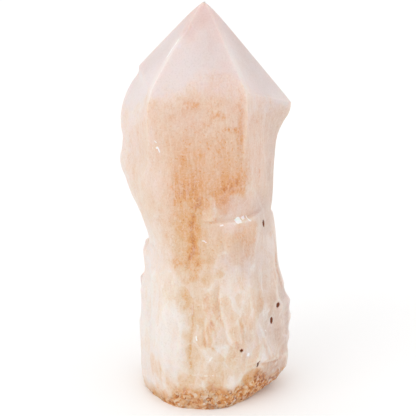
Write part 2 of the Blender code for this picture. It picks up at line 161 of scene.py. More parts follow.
# %% The edges and the swelling between them
HEIGHT = 149.6
APEX = (-0.3, 0.0, 151.3)
TIP_WEAR, TIP_WEAR_REACH = 1.2, 2.5
TIP_RING_HEIGHT = 149.4
CENTRE_SHIFT = (-0.35, -2.2)
EDGES = [
    dict(
        name="left", rim=123.8, swell=0.0, wear=0.35,
        azimuth=[(0, -88), (60, -90), (100, -93), (123.8, -105)],
        reach=[
            (0, 23.3), (1.5, 23.8), (4, 24.2), (14, 24.2), (25, 24.6), (35, 25.0), (42, 24.8),
            (47.5, 23.9), (52.3, 24.1), (56.3, 22.4), (59.4, 21.2), (66.6, 23.5), (71.3, 25.2),
            (78.4, 28.2), (83.1, 29.8), (87.8, 31.7), (90.1, 32.0), (94.8, 31.3), (97.9, 31.1),
            (102, 31.7), (107, 31.4), (112, 30.1), (117.8, 27.4), (121.0, 25.4), (123.8, 25.2),
        ],
    ),
    dict(
        name="front left", rim=121.2, swell=1.0, wear=1.0,
        azimuth=[(0, -40), (60, -42), (121.2, -48)],
        reach=[
            (0, 25.2), (2.5, 25.8), (7, 26.5), (20, 27.3), (36, 26.8), (48, 25.6), (58, 24.9),
            (68, 26.0), (78, 28.0), (88, 29.2), (100, 29.4), (110, 28.8), (121.2, 26.9),
        ],
    ),
    dict(
        name="front right", rim=121.6, swell=0.15, wear=1.0,
        azimuth=[(0, 34), (60, 33), (121.6, 35.5)],
        reach=[
            (0, 24.0), (3, 25.4), (8, 26.8), (14, 28.0), (30, 29.0), (48, 27.6), (58, 26.6), (78, 26.6),
            (100, 26.8), (112, 26.6), (121.6, 25.6),
        ],
    ),
    dict(
        name="right", rim=110.8, swell=0.7, wear=0.5,
        azimuth=[(0, 86), (60, 90), (110.8, 95)],
        reach=[
            (0, 21.4), (1, 23.0), (3.3, 26.6), (5.8, 29.0), (10.8, 31.3), (15.7, 31.8), (20.7, 32.0),
            (28, 32.2), (33, 32.4), (35.5, 31.9), (37.8, 31.2), (40.2, 30.4), (45, 29.0), (50, 27.9),
            (55, 27.2), (62, 26.2), (66.6, 25.6), (70, 24.9), (74, 25.7), (80, 26.4), (90, 26.2),
            (95, 26.1), (98, 26.5), (101, 27.6), (104.1, 29.2), (106, 30.5), (108.5, 31.6),
            (110.8, 31.9),
        ],
    ),
    dict(
        name="back right", rim=114.0, swell=0.8, wear=1.0,
        azimuth=[(0, 140), (60, 142), (114, 150)],
        reach=[
            (0, 23.0), (4, 26.2), (20, 28.4), (40, 27.2), (60, 25.4), (80, 26.4), (98, 28.6),
            (114, 30.4),
        ],
    ),
    dict(
        name="back left", rim=117.0, swell=0.5, wear=1.0,
        azimuth=[(0, 214), (60, 212), (117, 200)],
        reach=[
            (0, 22.5), (4, 25.6), (20, 27.6), (40, 26.4), (56, 24.6), (70, 26.0), (86, 28.4),
            (100, 29.6), (117, 29.4),
        ],
    ),
]
# how far the fullest panel swells out of flat between its two edges, at a few heights
SWELL = [
    (0, 4.8), (8, 4.6), (30, 3.8), (55, 3.0), (80, 3.4), (100, 2.6), (112, 1.2), (118, 0.2), (125, 0.0),
]
print("edges:", [edge["name"] for edge in EDGES])

# %% [markdown]
# ## The plain loft
#
# The surface is a function of two parameters: one runs from the tip down to the base, the other round the
# crystal. Columns are closest together on the three panels that face the viewer, because the small
# breaks there have to be read from close by.

# %% Loft the head and the body
PANEL_COLUMNS = (80, 100, 80, 36, 32, 32)
HEAD_ROWS = 30
BODY_ROWS = 236


def loft(spacing=1.5):
    """Rows of points from the tip down to the base: the head, then the panels between the six edges."""
    down = np.linspace(0, 1, BODY_ROWS)
    lines = []
    for edge in EDGES:
        height = edge["rim"] * (1 - down)
        azimuth = np.radians(curve(height, edge["azimuth"]))
        reach = curve(height, edge["reach"])
        lines.append(np.stack([reach * np.sin(azimuth), -reach * np.cos(azimuth), height], -1))
    panels = []
    for k, count in enumerate(PANEL_COLUMNS):
        start, stop = lines[k], lines[(k + 1) % len(lines)]
        share = np.linspace(0, 1, count, endpoint=False)[None, :, None]
        panel = start[:, None] * (1 - share) + stop[:, None] * share
        outward = np.stack([stop[:, 1] - start[:, 1], start[:, 0] - stop[:, 0]], -1)
        outward /= np.linalg.norm(outward, axis=1, keepdims=True)
        swell = EDGES[k]["swell"] * curve(panel[..., 2], SWELL) * 4 * (share * (1 - share))[..., 0]
        panel[..., :2] += outward[:, None] * swell[..., None]
        panels.append(panel)
    body = np.concatenate(panels, 1)
    apex = np.array(APEX)
    first = (apex[2] - TIP_RING_HEIGHT) / (apex[2] - body[0, :, 2])
    t = first + (1 - first) * (np.arange(HEAD_ROWS)[:, None] / HEAD_ROWS) ** spacing
    head = apex + t[..., None] * (body[0] - apex)
    away = head[..., :2] - apex[:2]
    reach = np.linalg.norm(away, axis=-1, keepdims=True)
    wear = TIP_WEAR * np.exp((head[..., 2:] - HEIGHT) / TIP_WEAR_REACH)
    head[..., :2] = apex[:2] + away * np.maximum(reach - wear, 0.1) / reach
    return np.concatenate([head, body])

plain_grid = loft()
print("grid rows, columns:", plain_grid.shape[:2])

# %% [markdown]
# ## Broken stone
#
# Quartz has no cleavage. It breaks in shells, like thick glass: smooth hollows that meet in sharp ridges. The
# lowest of many bowls, with their centres scattered at random, has exactly that form. Smooth noise adds the
# broad lumps between them.

# %% Lumps and chips
CHIP_BOX = ((-36, -36, -6), (36, 36, 130))


def lumps(points, size, seed):
    """Smooth noise from -1 to 1: random values on a lattice, blended between its corners."""
    cells = 24
    lattice = np.random.default_rng(seed).uniform(-1, 1, (cells, cells, cells))
    place = points / size + 100.0
    low = np.floor(place).astype(int)
    share = smooth(place - low)
    total = 0.0
    for corner in range(8):
        step = np.array([corner & 1, corner >> 1 & 1, corner >> 2 & 1])
        weight = np.where(step, share, 1 - share).prod(-1)
        i = (low + step) % cells
        total = total + weight * lattice[i[..., 0], i[..., 1], i[..., 2]]
    return total


def chips(points, size, seed, tall=1.5, tilt=0.7, highest=1.6):
    """The lowest of many bowls, so hollows of about this size meet in sharp ridges, and each bowl's tone."""
    random = np.random.default_rng(seed)
    low, high = np.array(CHIP_BOX, float)
    count = int((high - low).prod() / (size**3 * tall))
    stretch = np.array([1, 1, 1 / tall]) / size
    centres = random.uniform(low, high, (count, 3)) * stretch
    slopes = random.uniform(-tilt, tilt, (count, 3))
    tones = random.uniform(0, 1, count)
    place = points * stretch
    lowest = np.full(place.shape[:-1], highest)
    tone = np.full(place.shape[:-1], 0.5)
    for centre, slope, own_tone in zip(centres, slopes, tones):
        away = place - centre
        bowl = (away * away).sum(-1) + away @ slope
        tone = np.where(bowl < lowest, own_tone, tone)
        lowest = np.minimum(lowest, bowl)
    return lowest, tone

# %% [markdown]
# ## Ridges, ledges, spurs and scars
#
# The breaks that give this crystal its face are placed one by one: ridges between crystals grown side by
# side, ledges where one break stands above the next, little wedge-shaped spurs, hollow scars and the long
# shallow crease left of the middle. Each form is a rise or fall of the surface, written as a function of
# azimuth and height, and the three that run along a path share one distance function.

# %% Distance to a path
def path_field(azimuth, height, path):
    """Signed distance to a path, positive on its right seen from outside, and place along it, 0 to 1."""
    start = path[0][0]
    u = across(azimuth, start)
    corners = [(across(a, start), h) for a, h in path]
    total = sum(math.dist(a, b) for a, b in zip(corners, corners[1:]))
    nearest = np.full(np.shape(u), np.inf)
    signed = np.zeros(np.shape(u))
    along = np.zeros(np.shape(u))
    passed = 0.0
    for (u0, h0), (u1, h1) in zip(corners, corners[1:]):
        length = math.dist((u0, h0), (u1, h1))
        du, dh = (u1 - u0) / length, (h1 - h0) / length
        run = np.clip((u - u0) * du + (height - h0) * dh, 0, length)
        off_u, off_h = u - u0 - run * du, height - h0 - run * dh
        gap = np.hypot(off_u, off_h)
        side = np.where(du * off_h - dh * off_u >= 0, -1.0, 1.0)
        closer = gap < nearest
        nearest = np.where(closer, gap, nearest)
        signed = np.where(closer, side * gap, signed)
        along = np.where(closer, (passed + run) / total, along)
        passed += length
    return signed, along

# %% Forms along a path
def ridge(azimuth, height, path, rise, left, right, fade=0.3):
    """A roof-shaped fold along a path, fading out at both ends."""
    signed, along = path_field(azimuth, height, path)
    ends = smooth(along / fade) * smooth((1 - along) / fade)
    width = np.where(signed > 0, right, left)
    return rise * ends * np.clip(1 - np.abs(signed) / width, 0, 1)


def ledge(azimuth, height, path, drop, recover, fade=0.2, step=1.1):
    """A step down to the right of a path, from which the ground slowly comes back."""
    signed, along = path_field(azimuth, height, path)
    ends = smooth(along / fade) * smooth((1 - along) / fade)
    riser = smooth(signed / step + 0.5)
    return -drop * ends * riser * np.exp(-np.maximum(signed, 0) / recover)


def crease(azimuth, height, path, half_width, depth, fade=0.15):
    """A narrow groove along a path."""
    signed, along = path_field(azimuth, height, path)
    ends = smooth(along / fade) * smooth((1 - along) / fade)
    return -depth * ends * np.exp(-np.abs(signed) / half_width)

# %% Forms round a place
def spur(azimuth, height, tip, left, right, rise_left, rise_right, foot_fade=0.9):
    """A wedge with two flat faces that meet in a ridge, widening from its tip down to its feet."""
    u = across(azimuth, tip[0])
    foot = min(left[1], right[1])
    u_left = across(left[0], tip[0]) * np.clip((tip[1] - height) / (tip[1] - left[1]), 0, 1)
    u_right = across(right[0], tip[0]) * np.clip((tip[1] - height) / (tip[1] - right[1]), 0, 1)
    rise = np.minimum((u - u_left) * rise_left, (u_right - u) * rise_right)
    return np.maximum(rise, 0) * smooth((height - foot) / foot_fade) * (height < tip[1])


def scar(azimuth, height, at, middle, half_width, half_height, depth, ledge_height, step=1.2):
    """A bowl with a sharp rim, cut off below by a ledge."""
    u = across(azimuth, at) / half_width
    v = (height - middle) / half_height
    above_ledge = smooth((height - ledge_height) / step) if ledge_height else 1.0
    return -depth * np.clip(1 - u * u - v * v, 0, 1) * above_ledge

# %% Where the forms are
# path of (azimuth, height), rise (negative for a valley), width to the left and to the right
RIDGES = [
    ([(-10, 47), (-10.8, 34), (-12.3, 26.5), (-13.4, 10)], -0.8, 5.0, 4.0),
    ([(-33, 54), (-34, 36), (-33, 12)], 0.9, 7.0, 8.0),
    ([(-62, 54), (-63, 34), (-61, 10)], -0.9, 7.0, 6.0),
    ([(38, 54), (40, 34), (37, 16)], 0.9, 6.0, 6.0),
    ([(74, 60), (73, 44), (76, 30)], 1.0, 6.0, 7.0),
    ([(-26, 108), (-28, 90), (-25, 66)], 0.5, 9.0, 9.0),
    ([(4, 104), (3, 94), (1, 84)], 0.5, 8.0, 8.0),
    ([(104, 56), (102, 34), (106, 12)], -1.4, 6.0, 6.0),
    ([(172, 60), (174, 36), (170, 10)], -1.8, 7.0, 7.0),
    ([(218, 52), (216, 32), (219, 10)], -1.6, 6.0, 7.0),
    ([(248, 100), (246, 84), (250, 66)], 0.7, 9.0, 9.0),
    ([(166, 88), (169, 78), (164, 68)], -0.9, 7.0, 8.0),
]
# path, drop on its right-hand side (negative for a step up), distance over which the ground comes back
LEDGES = [
    ([(11.5, 50), (11.9, 43.5), (14, 36.2), (19.8, 28.4), (25.5, 22)], 0.7, 7.0),
    ([(0.8, 38), (0.5, 30), (1.2, 24)], 0.55, 3.0),
    ([(3.5, 37.5), (7.5, 32.6), (8.9, 27.9), (4.5, 24.4)], -0.3, 3.0),
    ([(25, 37), (29, 30), (31, 24)], -0.4, 3.0),
    ([(32.5, 119), (32, 104), (31, 92)], 0.4, 6.0),
    ([(63.5, 114), (62.5, 100), (60, 90)], -0.5, 5.0),
    ([(15.8, 73.4), (16.2, 67), (19.6, 58)], 0.35, 7.0),
    ([(42, 56), (47, 63), (52, 70)], -0.35, 4.0),
    ([(-42, 56.5), (-52, 58.5), (-62, 60), (-88, 58.5)], -0.6, 9.0),
    ([(64, 15), (55.3, 22), (48.5, 31.5)], -0.6, 9.0),
    ([(78, 13.5), (62, 15), (47, 16)], -0.8, 4.0),
    ([(118, 62), (136, 55), (158, 60)], -1.4, 10.0),
    ([(222, 60), (246, 54), (266, 59)], -1.2, 9.0),
]
# tip, left foot and right foot as (azimuth, height), rise of the left and of the right face
SPURS = [
    ((4.8, 85.5), (-5.5, 74.2), (10.0, 73.8), 0.18, 0.45),
    ((44, 39.0), (30, 18.0), (64, 16.0), 0.13, 0.13),
]
# azimuth, height, half width, half height, depth, height of the ledge that cuts the hollow off, or 0
SCARS = [
    (36, 72.5, 15.0, 14.6, 1.6, 73.2),
    (18, 17.5, 8.5, 8.0, 0.8, 0),
    (7, 8.4, 6.0, 3.6, 0.5, 0),
    (-26, 11.0, 6.0, 6.5, 0.8, 0),
    (-60, 0.5, 9.0, 7.0, 1.3, 0),
    (44, 11.0, 6.0, 4.4, 1.0, 0),
    (88, 38.0, 4.0, 2.6, 0.5, 0),
    (87, 31.5, 4.0, 3.2, 0.6, 0),
    (86, 24.0, 4.0, 3.0, 0.6, 0),
    (84, 16.5, 4.0, 3.0, 0.6, 0),
    (-64, 98.0, 7.5, 12.0, 0.8, 0),
    (108, 80.0, 9.0, 17.0, 1.8, 68.0),
    (128, 22.0, 10.0, 9.0, 1.4, 0),
    (184, 96.0, 12.0, 13.0, 1.6, 90.0),
    (232, 82.0, 8.0, 16.0, 1.4, 0),
    (254, 34.0, 8.0, 12.0, 1.2, 0),
]
# path, half width and depth
CREASES = [
    (
        [(-4.8, 83.7), (-8.3, 79), (-12, 72.8), (-11.1, 66), (-11.4, 62), (-17.3, 56.8), (-22.5, 52.6)],
        1.2, 0.3,
    ),
    ([(84, 64), (88, 52), (84, 38)], 1.2, 0.6),
    ([(256, 30), (258, 20), (254, 10)], 1.2, 0.8),
]

# %% [markdown]
# ## Carving the loft
#
# The forms are summed as changes of distance from the main axis. The faces of the head stay flat, so
# everything fades out under them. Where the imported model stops, this one goes on with what only a close look
# shows: finer chips, upright fibres, nicks in the two front edges of the head, and the grains of the crust.

# %% Carve
FOOT_SPREAD = 0.25
EDGE_WEAR, EDGE_WEAR_HALF_WIDTH = 1.5, 7.0
EDGE_WEAR_START, EDGE_WEAR_FADE = 4.0, 22.0
ROUGH_TOP, ROUGH_FADE = 114.0, 16.0
LOWER_TOP, LOWER_FADE = 62.0, 14.0
LUMP_SIZE, LUMP_RELIEF, LUMP_SEED = 16.0, 0.6, 3
CHIP_SIZE, CHIP_RELIEF, CHIP_SEED = 13.0, 1.5, 4
CHIP_MEAN, CHIP_UPPER_SHARE = 0.35, 0.35
WARP_SIZE, WARP_DEGREES, WARP_HEIGHT, WARP_SEEDS = 7.0, 2.2, 0.9, (11, 12)
FINE_CHIP_SIZE, FINE_CHIP_RELIEF, FINE_CHIP_SEED, FINE_CHIP_UPPER_SHARE = 5.5, 0.7, 9, 0.3
FINE_TONE_WEIGHT = 2
FIBRE_SIZE, FIBRE_STRETCH, FIBRE_RELIEF, FIBRE_SEED = 1.6, 9.0, 0.07, 21
CREST_WEAR, CREST_WIDTH = 0.14, 0.35
# nicks in the edges of the head: azimuth, height, half width, half height, depth, and 0 for no ledge
NICKS = [(-47, 140.6, 4.2, 2.6, 0.9, 0), (-48, 136.4, 2.6, 1.5, 0.4, 0), (35, 127.0, 1.6, 1.2, 0.25, 0)]
# height of the crust's upper border at azimuths all round
CRUST_TOP = [
    (-180, 4), (-120, 3), (-70, 1.5), (-30, 5), (-10, 7), (12, 8.5), (34, 8), (50, 11), (87, 8), (130, 4),
    (180, 4),
]
GRAIN_SIZE, GRAIN_RELIEF, GRAIN_SEED = 1.1, 0.45, 31


def carve(grid):
    """Distance from the axis = plain distance - wear + lumps + chips + placed forms, held in at the foot.

    Also returns azimuth, height, plain distance, share of the lower body and tone of the chips.
    """
    x, y, height = grid[..., 0], grid[..., 1], grid[..., 2]
    azimuth = np.degrees(np.arctan2(x, -y))
    plain = np.hypot(x, y)
    reach = plain.copy()
    rough = smooth((ROUGH_TOP - height) / ROUGH_FADE)
    low = smooth((LOWER_TOP - height) / LOWER_FADE)
    for edge in EDGES:
        gap = np.abs(across(azimuth, curve(height, edge["azimuth"])))
        wear = EDGE_WEAR * edge["wear"] * smooth((edge["rim"] - EDGE_WEAR_START - height) / EDGE_WEAR_FADE)
        reach -= wear * np.clip(1 - gap / EDGE_WEAR_HALF_WIDTH, 0, 1) ** 2
    reach += rough * LUMP_RELIEF * lumps(grid, LUMP_SIZE, LUMP_SEED)
    broken = CHIP_UPPER_SHARE + (1 - CHIP_UPPER_SHARE) * low
    lowest, tone = chips(grid, CHIP_SIZE, CHIP_SEED)
    reach += rough * broken * CHIP_RELIEF * (lowest - CHIP_MEAN)
    finer = FINE_CHIP_UPPER_SHARE + (1 - FINE_CHIP_UPPER_SHARE) * low
    lowest, fine_tone = chips(grid, FINE_CHIP_SIZE, FINE_CHIP_SEED)
    reach += rough * finer * FINE_CHIP_RELIEF * (lowest - CHIP_MEAN)
    # everything that follows a path or has a centre is bent a little, so that no line runs straight
    bent_azimuth = azimuth + rough * WARP_DEGREES * lumps(grid, WARP_SIZE, WARP_SEEDS[0])
    bent_height = height + rough * WARP_HEIGHT * lumps(grid, WARP_SIZE, WARP_SEEDS[1])
    for form, table in ((ridge, RIDGES), (ledge, LEDGES), (spur, SPURS), (scar, SCARS), (crease, CREASES)):
        for values in table:
            reach += form(bent_azimuth, bent_height, *values)
    reach += rough * FIBRE_RELIEF * lumps(grid / (1, 1, FIBRE_STRETCH), FIBRE_SIZE, FIBRE_SEED)
    reach = np.minimum(reach, plain + FOOT_SPREAD * height)
    for values in NICKS:
        reach += scar(azimuth, height, *values)
    return reach, azimuth, height, plain, low, (tone + FINE_TONE_WEIGHT * fine_tone) / (1 + FINE_TONE_WEIGHT)


reach, azimuth, height, plain, low, tone = carve(plain_grid)
print("distance from the axis in mm:", round(float(reach.min()), 1), "to", round(float(reach.max()), 1))

# %% [markdown]
# ## Pits and crust
#
# Here and there a grain has weathered out and left a dark pit. The crust at the foot is stone sand cemented
# by rust: noise at the size of its grains stands for it. Both are worked into the same grid.

# %% Pits and crust grains
# azimuth, height, half width, half height and depth
PITS = {
    "pit_under_scar": (65.2, 68.3, 0.62, 1.05, 1.6),
    "pit_right_high": (72.1, 35.5, 0.60, 0.80, 1.3),
    "pit_right_low": (64.9, 30.5, 0.75, 0.95, 1.5),
    "pit_foot": (47.6, 15.7, 0.45, 1.10, 1.2),
    "pit_middle": (29.9, 23.3, 0.45, 0.45, 0.8),
    "pit_back_high": (150, 80.0, 0.70, 0.90, 1.4),
    "pit_back_left": (214, 64.0, 0.65, 0.85, 1.3),
    "pit_right_side": (98, 48.0, 0.60, 0.80, 1.2),
}
PIT_GROWTH, PIT_DEPTH, PIT_SOFT = 1.05, 0.9, 0.8
PIT_RIM_WIDTH, PIT_RIM_HEIGHT, PIT_RIM_SOFT = 1.9, 1.7, 0.6
# the crust's upper border is bent by noise of amount, size and seed, and is this wide
CRUST_WAVES, CRUST_BORDER = ((3.0, 5.0, 41), (2.0, 2.2, 42)), 4.5
COARSE_GRAIN_SHARE, GRAIN_FOOT_FADE = 0.8, 1.5


def oval(azimuth, height, at, middle, half_width, half_height, soft):
    """1 inside an oval, falling smoothly to 0 across its border, whose width is a share of its size."""
    away = np.hypot(across(azimuth, at) / half_width, (height - middle) / half_height)
    return smooth((1 - away) / soft + 0.5)


def waved(field, waves):
    """The field plus noise: amount x lumps of each size, added up."""
    for amount, size, seed in waves:
        field = field + amount * lumps(plain_grid, size, seed)
    return field


pits, pit_rims = np.zeros(reach.shape), np.zeros(reach.shape)
for at, middle, half_width, half_height, depth in PITS.values():
    size = (PIT_GROWTH * half_width, PIT_GROWTH * half_height)
    share = oval(azimuth, height, at, middle, *size, PIT_SOFT)
    reach -= PIT_DEPTH * depth * share
    pits = np.maximum(pits, share)
    rim = oval(azimuth, height, at, middle, PIT_RIM_WIDTH * size[0], PIT_RIM_HEIGHT * size[1], PIT_RIM_SOFT)
    pit_rims = np.maximum(pit_rims, rim)
crust_edge = waved(curve(azimuth, CRUST_TOP), CRUST_WAVES)
crust = smooth((crust_edge - height) / CRUST_BORDER + 0.5)
grains = waved(0, ((1, GRAIN_SIZE, GRAIN_SEED), (COARSE_GRAIN_SHARE, 2 * GRAIN_SIZE, GRAIN_SEED + 1)))
reach += crust * GRAIN_RELIEF * grains * smooth(height / GRAIN_FOOT_FADE)
print("share of the surface under crust:", round(float(crust.mean()), 3))

# %% [markdown]
# ## Ridges painted pale as a highlight, hollows stained
#
# A sharp ridge of milky quartz scatters more light and looks white, so ridges are painted pale as a highlight,
# while rusty water has dried in the hollows and left them ochre. The height of a point above its neighbourhood
# tells the two apart, so it is measured on the grid by blurring the distances and taking the difference.

# %% Measure ridges and hollows
FACES_START, FACES_FADE = 119.0, 4
WINDOW_ROWS, WINDOW_COLUMNS = 2, 4
CLEAR_RELIEF, UPPER_RELIEF_SHARE = 0.14, 0.35


def blurred(field, rows, columns):
    """Mean over a window of the grid, taken twice. It goes round the columns and stops at the end rows."""
    for _ in range(2):
        padded = np.pad(field, ((rows, rows), (0, 0)), mode="edge")
        total = np.cumsum(np.pad(padded, ((1, 0), (0, 0))), 0)
        field = (total[2 * rows + 1:] - total[:-2 * rows - 1]) / (2 * rows + 1)
        wrapped = np.concatenate([field[:, -columns:], field, field[:, :columns]], 1)
        total = np.cumsum(np.pad(wrapped, ((0, 0), (1, 0))), 1)
        field = (total[:, 2 * columns + 1:] - total[:, :-2 * columns - 1]) / (2 * columns + 1)
    return field


relief = reach - blurred(reach, WINDOW_ROWS, WINDOW_COLUMNS)
under_head = smooth((FACES_START - height) / FACES_FADE)
shown = under_head * (UPPER_RELIEF_SHARE + (1 - UPPER_RELIEF_SHARE) * low)
ridges = np.clip(relief / CLEAR_RELIEF, 0, 1) * shown
hollows = np.clip(-relief / CLEAR_RELIEF, 0, 1) * shown
print("mean ridge and hollow:", round(float(ridges.mean()), 3), round(float(hollows.mean()), 3))

# %% [markdown]
# ## Rust
#
# The colour of this crystal is rust. One map says how much of it there is, from 0 for the pale head to 1 for
# ochre, and a colour ramp in the material turns it into peach and orange. The map is painted as one would
# paint the stone itself: soft oval dabs, each with its own level, one over the other. Their borders are bent
# by noise and broken up further in the material.

# %% Dabs of rust
STAIN_BEND = 3.0
bent = np.stack([
    waved(azimuth, ((STAIN_BEND, 6.0, 51), (STAIN_BEND, 2.5, 52))),
    waved(height, ((STAIN_BEND, 7.0, 53), (0.8 * STAIN_BEND, 2.5, 54))),
])


def painted(level, dabs, soft=0.9):
    """Each dab pulls the level towards its own: level x (1 - oval) + its level x oval."""
    for at, middle, half_width, half_height, dab_level in dabs:
        share = oval(*bent, at, middle, half_width, half_height, soft)
        level = level * (1 - share) + dab_level * share
    return level


# height at which the clean faces of the head end, at azimuths all round
FACES_END = [
    (-180, 113), (-110, 110), (-75, 113), (-52, 120), (-22, 122.5), (-10, 125.5), (0, 127), (28, 128),
    (40, 123.5), (55, 118), (80, 112), (110, 110), (180, 113),
]
FACES_BORDER, FACES_WAVE, STAIN_BORDER = 2.0, 1.6, 7.0
wave = waved(0, ((1, 3.0, 55), (0.7, 1.3, 56)))
under_faces = curve(azimuth, FACES_END) + FACES_WAVE * wave - height
weathered = smooth(under_faces / FACES_BORDER + 0.5)

# azimuth, height, half width and half height in millimetres, and level
UPPER_RUST = [
    (10, 124, 13, 4, 0.24), (10, 116, 16, 5, 0.42), (-12, 100, 20, 19, 0.47), (6, 104, 15, 13, 0.54),
    (14, 112, 10, 6, 0.40), (4, 91, 15, 14, 0.62), (-14, 76, 8.5, 21, 0.72), (-38, 80, 5, 20, 0.46),
    (-54, 92, 9, 26, 0.35), (-82, 96, 7, 20, 0.30), (-58, 71, 8, 7, 0.30), (20, 92, 8, 9, 0.66),
    (22, 88.5, 6, 3.5, 0.72), (37, 79, 11, 6, 0.42), (13.5, 81, 3.0, 5.0, 0.80), (60, 80, 5, 8, 0.5),
    (54, 92, 8, 24, 0.40), (80, 92, 9, 26, 0.40), (3, 68, 6, 11, 0.50), (33, 65.5, 7.5, 7, 0.60),
    (-18, 60, 6, 6, 0.60), (64, 76, 6, 9, 0.42), (64, 64, 6, 8, 0.34), (-78, 113, 10, 8, 0.14),
    (62, 119, 8, 5, 0.16), (-10, 68, 4.5, 8, 0.74),
]
LOWER_RUST = [
    (-60, 34, 17, 24, 0.04), (-28, 34, 7, 18, 0.08), (-24, 48, 6, 6, 0.24), (-10, 47, 6, 9, 0.50),
    (8, 46, 9, 10, 0.50), (30, 46, 9, 10, 0.36), (60, 50, 12, 12, 0.26), (84, 36, 7, 14, 0.56),
    (50, 42, 8, 9, 0.36), (80, 30, 6, 16, 0.46), (-7, 26, 4.5, 12, 0.44), (4.4, 30.5, 2.0, 5.4, 0.62),
    (15, 31, 3.4, 8, 0.34), (26, 29, 3.2, 6.5, 0.48), (36, 34, 5, 8, 0.50), (43.3, 24.5, 1.9, 6.5, 0.60),
    (38, 16.5, 4, 3.5, 0.48), (68, 30, 8, 12, 0.46), (84, 19, 1.6, 3.2, 0.52), (20, 17.5, 8.5, 6.0, 0.42),
    (14, 12.5, 6, 2.4, 0.52), (6, 21.5, 3, 2.4, 0.22), (0, 11.5, 13, 2.5, 0.52), (-46, 11, 8, 8, 0.30),
    (-20, 9, 7, 3, 0.48), (62, 11, 10, 4, 0.55),
]
BACK_RUST = [
    (112, 92, 15, 22, 0.45), (148, 84, 15, 26, 0.60), (200, 92, 17, 22, 0.52), (234, 84, 13, 20, 0.38),
    (262, 96, 9, 22, 0.22), (130, 46, 13, 13, 0.32), (160, 30, 14, 16, 0.10), (200, 34, 13, 18, 0.14),
    (240, 30, 13, 16, 0.08), (100, 30, 8, 14, 0.28), (104, 13, 9, 6, 0.48), (180, 8, 20, 3, 0.45),
]
HEAD_RUST, BODY_RUST, LOWEST_RUST = 0.04, 0.26, 0.18
LOWEST_TOP, LOWEST_FADE, STAIN_START = 58, 6, 0.35
stained = smooth(under_faces / STAIN_BORDER + STAIN_START)
rust = HEAD_RUST + (BODY_RUST - HEAD_RUST) * stained
rust += (LOWEST_RUST - BODY_RUST) * smooth((LOWEST_TOP - bent[1]) / LOWEST_FADE)
rust += (painted(rust, UPPER_RUST + LOWER_RUST + BACK_RUST) - rust) * stained
print("mean rust:", round(float(rust.mean()), 2))

# %% [markdown]
# ## Lines of rust and lines of milk
#
# Rust also follows cracks, and milky healed fractures cross the stone as pale threads. Both are maps that
# fall off with the distance from a path.

# %% Paths of rust and milk
LINE_FADE = 0.12


def drawn(lines):
    """Amount x exp(-(distance / half width) squared), faded at both ends, for the strongest of the lines."""
    total = np.zeros(reach.shape)
    for path, half_width, amount in lines:
        signed, along = path_field(*line_bent, path)
        ends = smooth(along / LINE_FADE) * smooth((1 - along) / LINE_FADE)
        total = np.maximum(total, amount * ends * np.exp(-((signed / half_width) ** 2)))
    return total


line_bent = [waved(azimuth, [(1.2, 3.0, 61)]), waved(height, [(0.5, 3.0, 62)])]
# path of (azimuth, height), half width and amount
RUST_LINES = [
    # rust has settled along the first crease
    (CREASES[0][0], 0.9, 0.22),
    ([(-11.3, 69), (-11.4, 61)], 2.2, 0.26), ([(-4.0, 84.5), (-8.3, 78)], 1.8, 0.30),
    ([(15, 108.6), (22, 108.1), (30, 108.5)], 0.8, 0.50),
    ([(31, 94.5), (29, 90.5), (23, 87.5), (13, 85.4)], 1.5, 0.28), ([(54.3, 91), (56.8, 87.4)], 0.7, 0.50),
    ([(49.2, 109.8), (49.6, 108.8)], 0.45, 0.60),
    ([(-9.8, 43.4), (-11, 32), (-11.7, 22.2), (-12.4, 15)], 0.5, 0.34),
    ([(5.2, 26.5), (7.8, 24.4)], 0.6, 0.45), ([(23, 28), (28, 23.6)], 0.5, 0.45),
    ([(-41, 16), (-35, 12), (-28, 7)], 0.8, 0.35),
    ([(33.6, 123), (31.5, 118), (30, 110), (30, 100)], 1.0, 0.22), ([(67.2, 118), (69.1, 111)], 0.8, 0.35),
    ([(-22, 118), (-14, 116), (-4, 117)], 1.2, 0.34), ([(4, 113), (12, 114), (20, 112)], 1.0, 0.34),
    ([(73, 63.6), (84, 62.6)], 0.9, 0.28), ([(59, 61.5), (62, 59)], 0.8, 0.24),
    ([(104, 70), (108, 56), (102, 40)], 0.8, 0.35), ([(172, 58), (174, 38), (170, 14)], 0.8, 0.35),
    ([(216, 52), (216, 34), (219, 12)], 0.8, 0.30), ([(140, 98), (146, 84), (141, 70)], 0.9, 0.30),
    ([(240, 60), (252, 57), (262, 60)], 0.8, 0.25), ([(190, 90), (176, 88), (168, 92)], 0.9, 0.32),
]
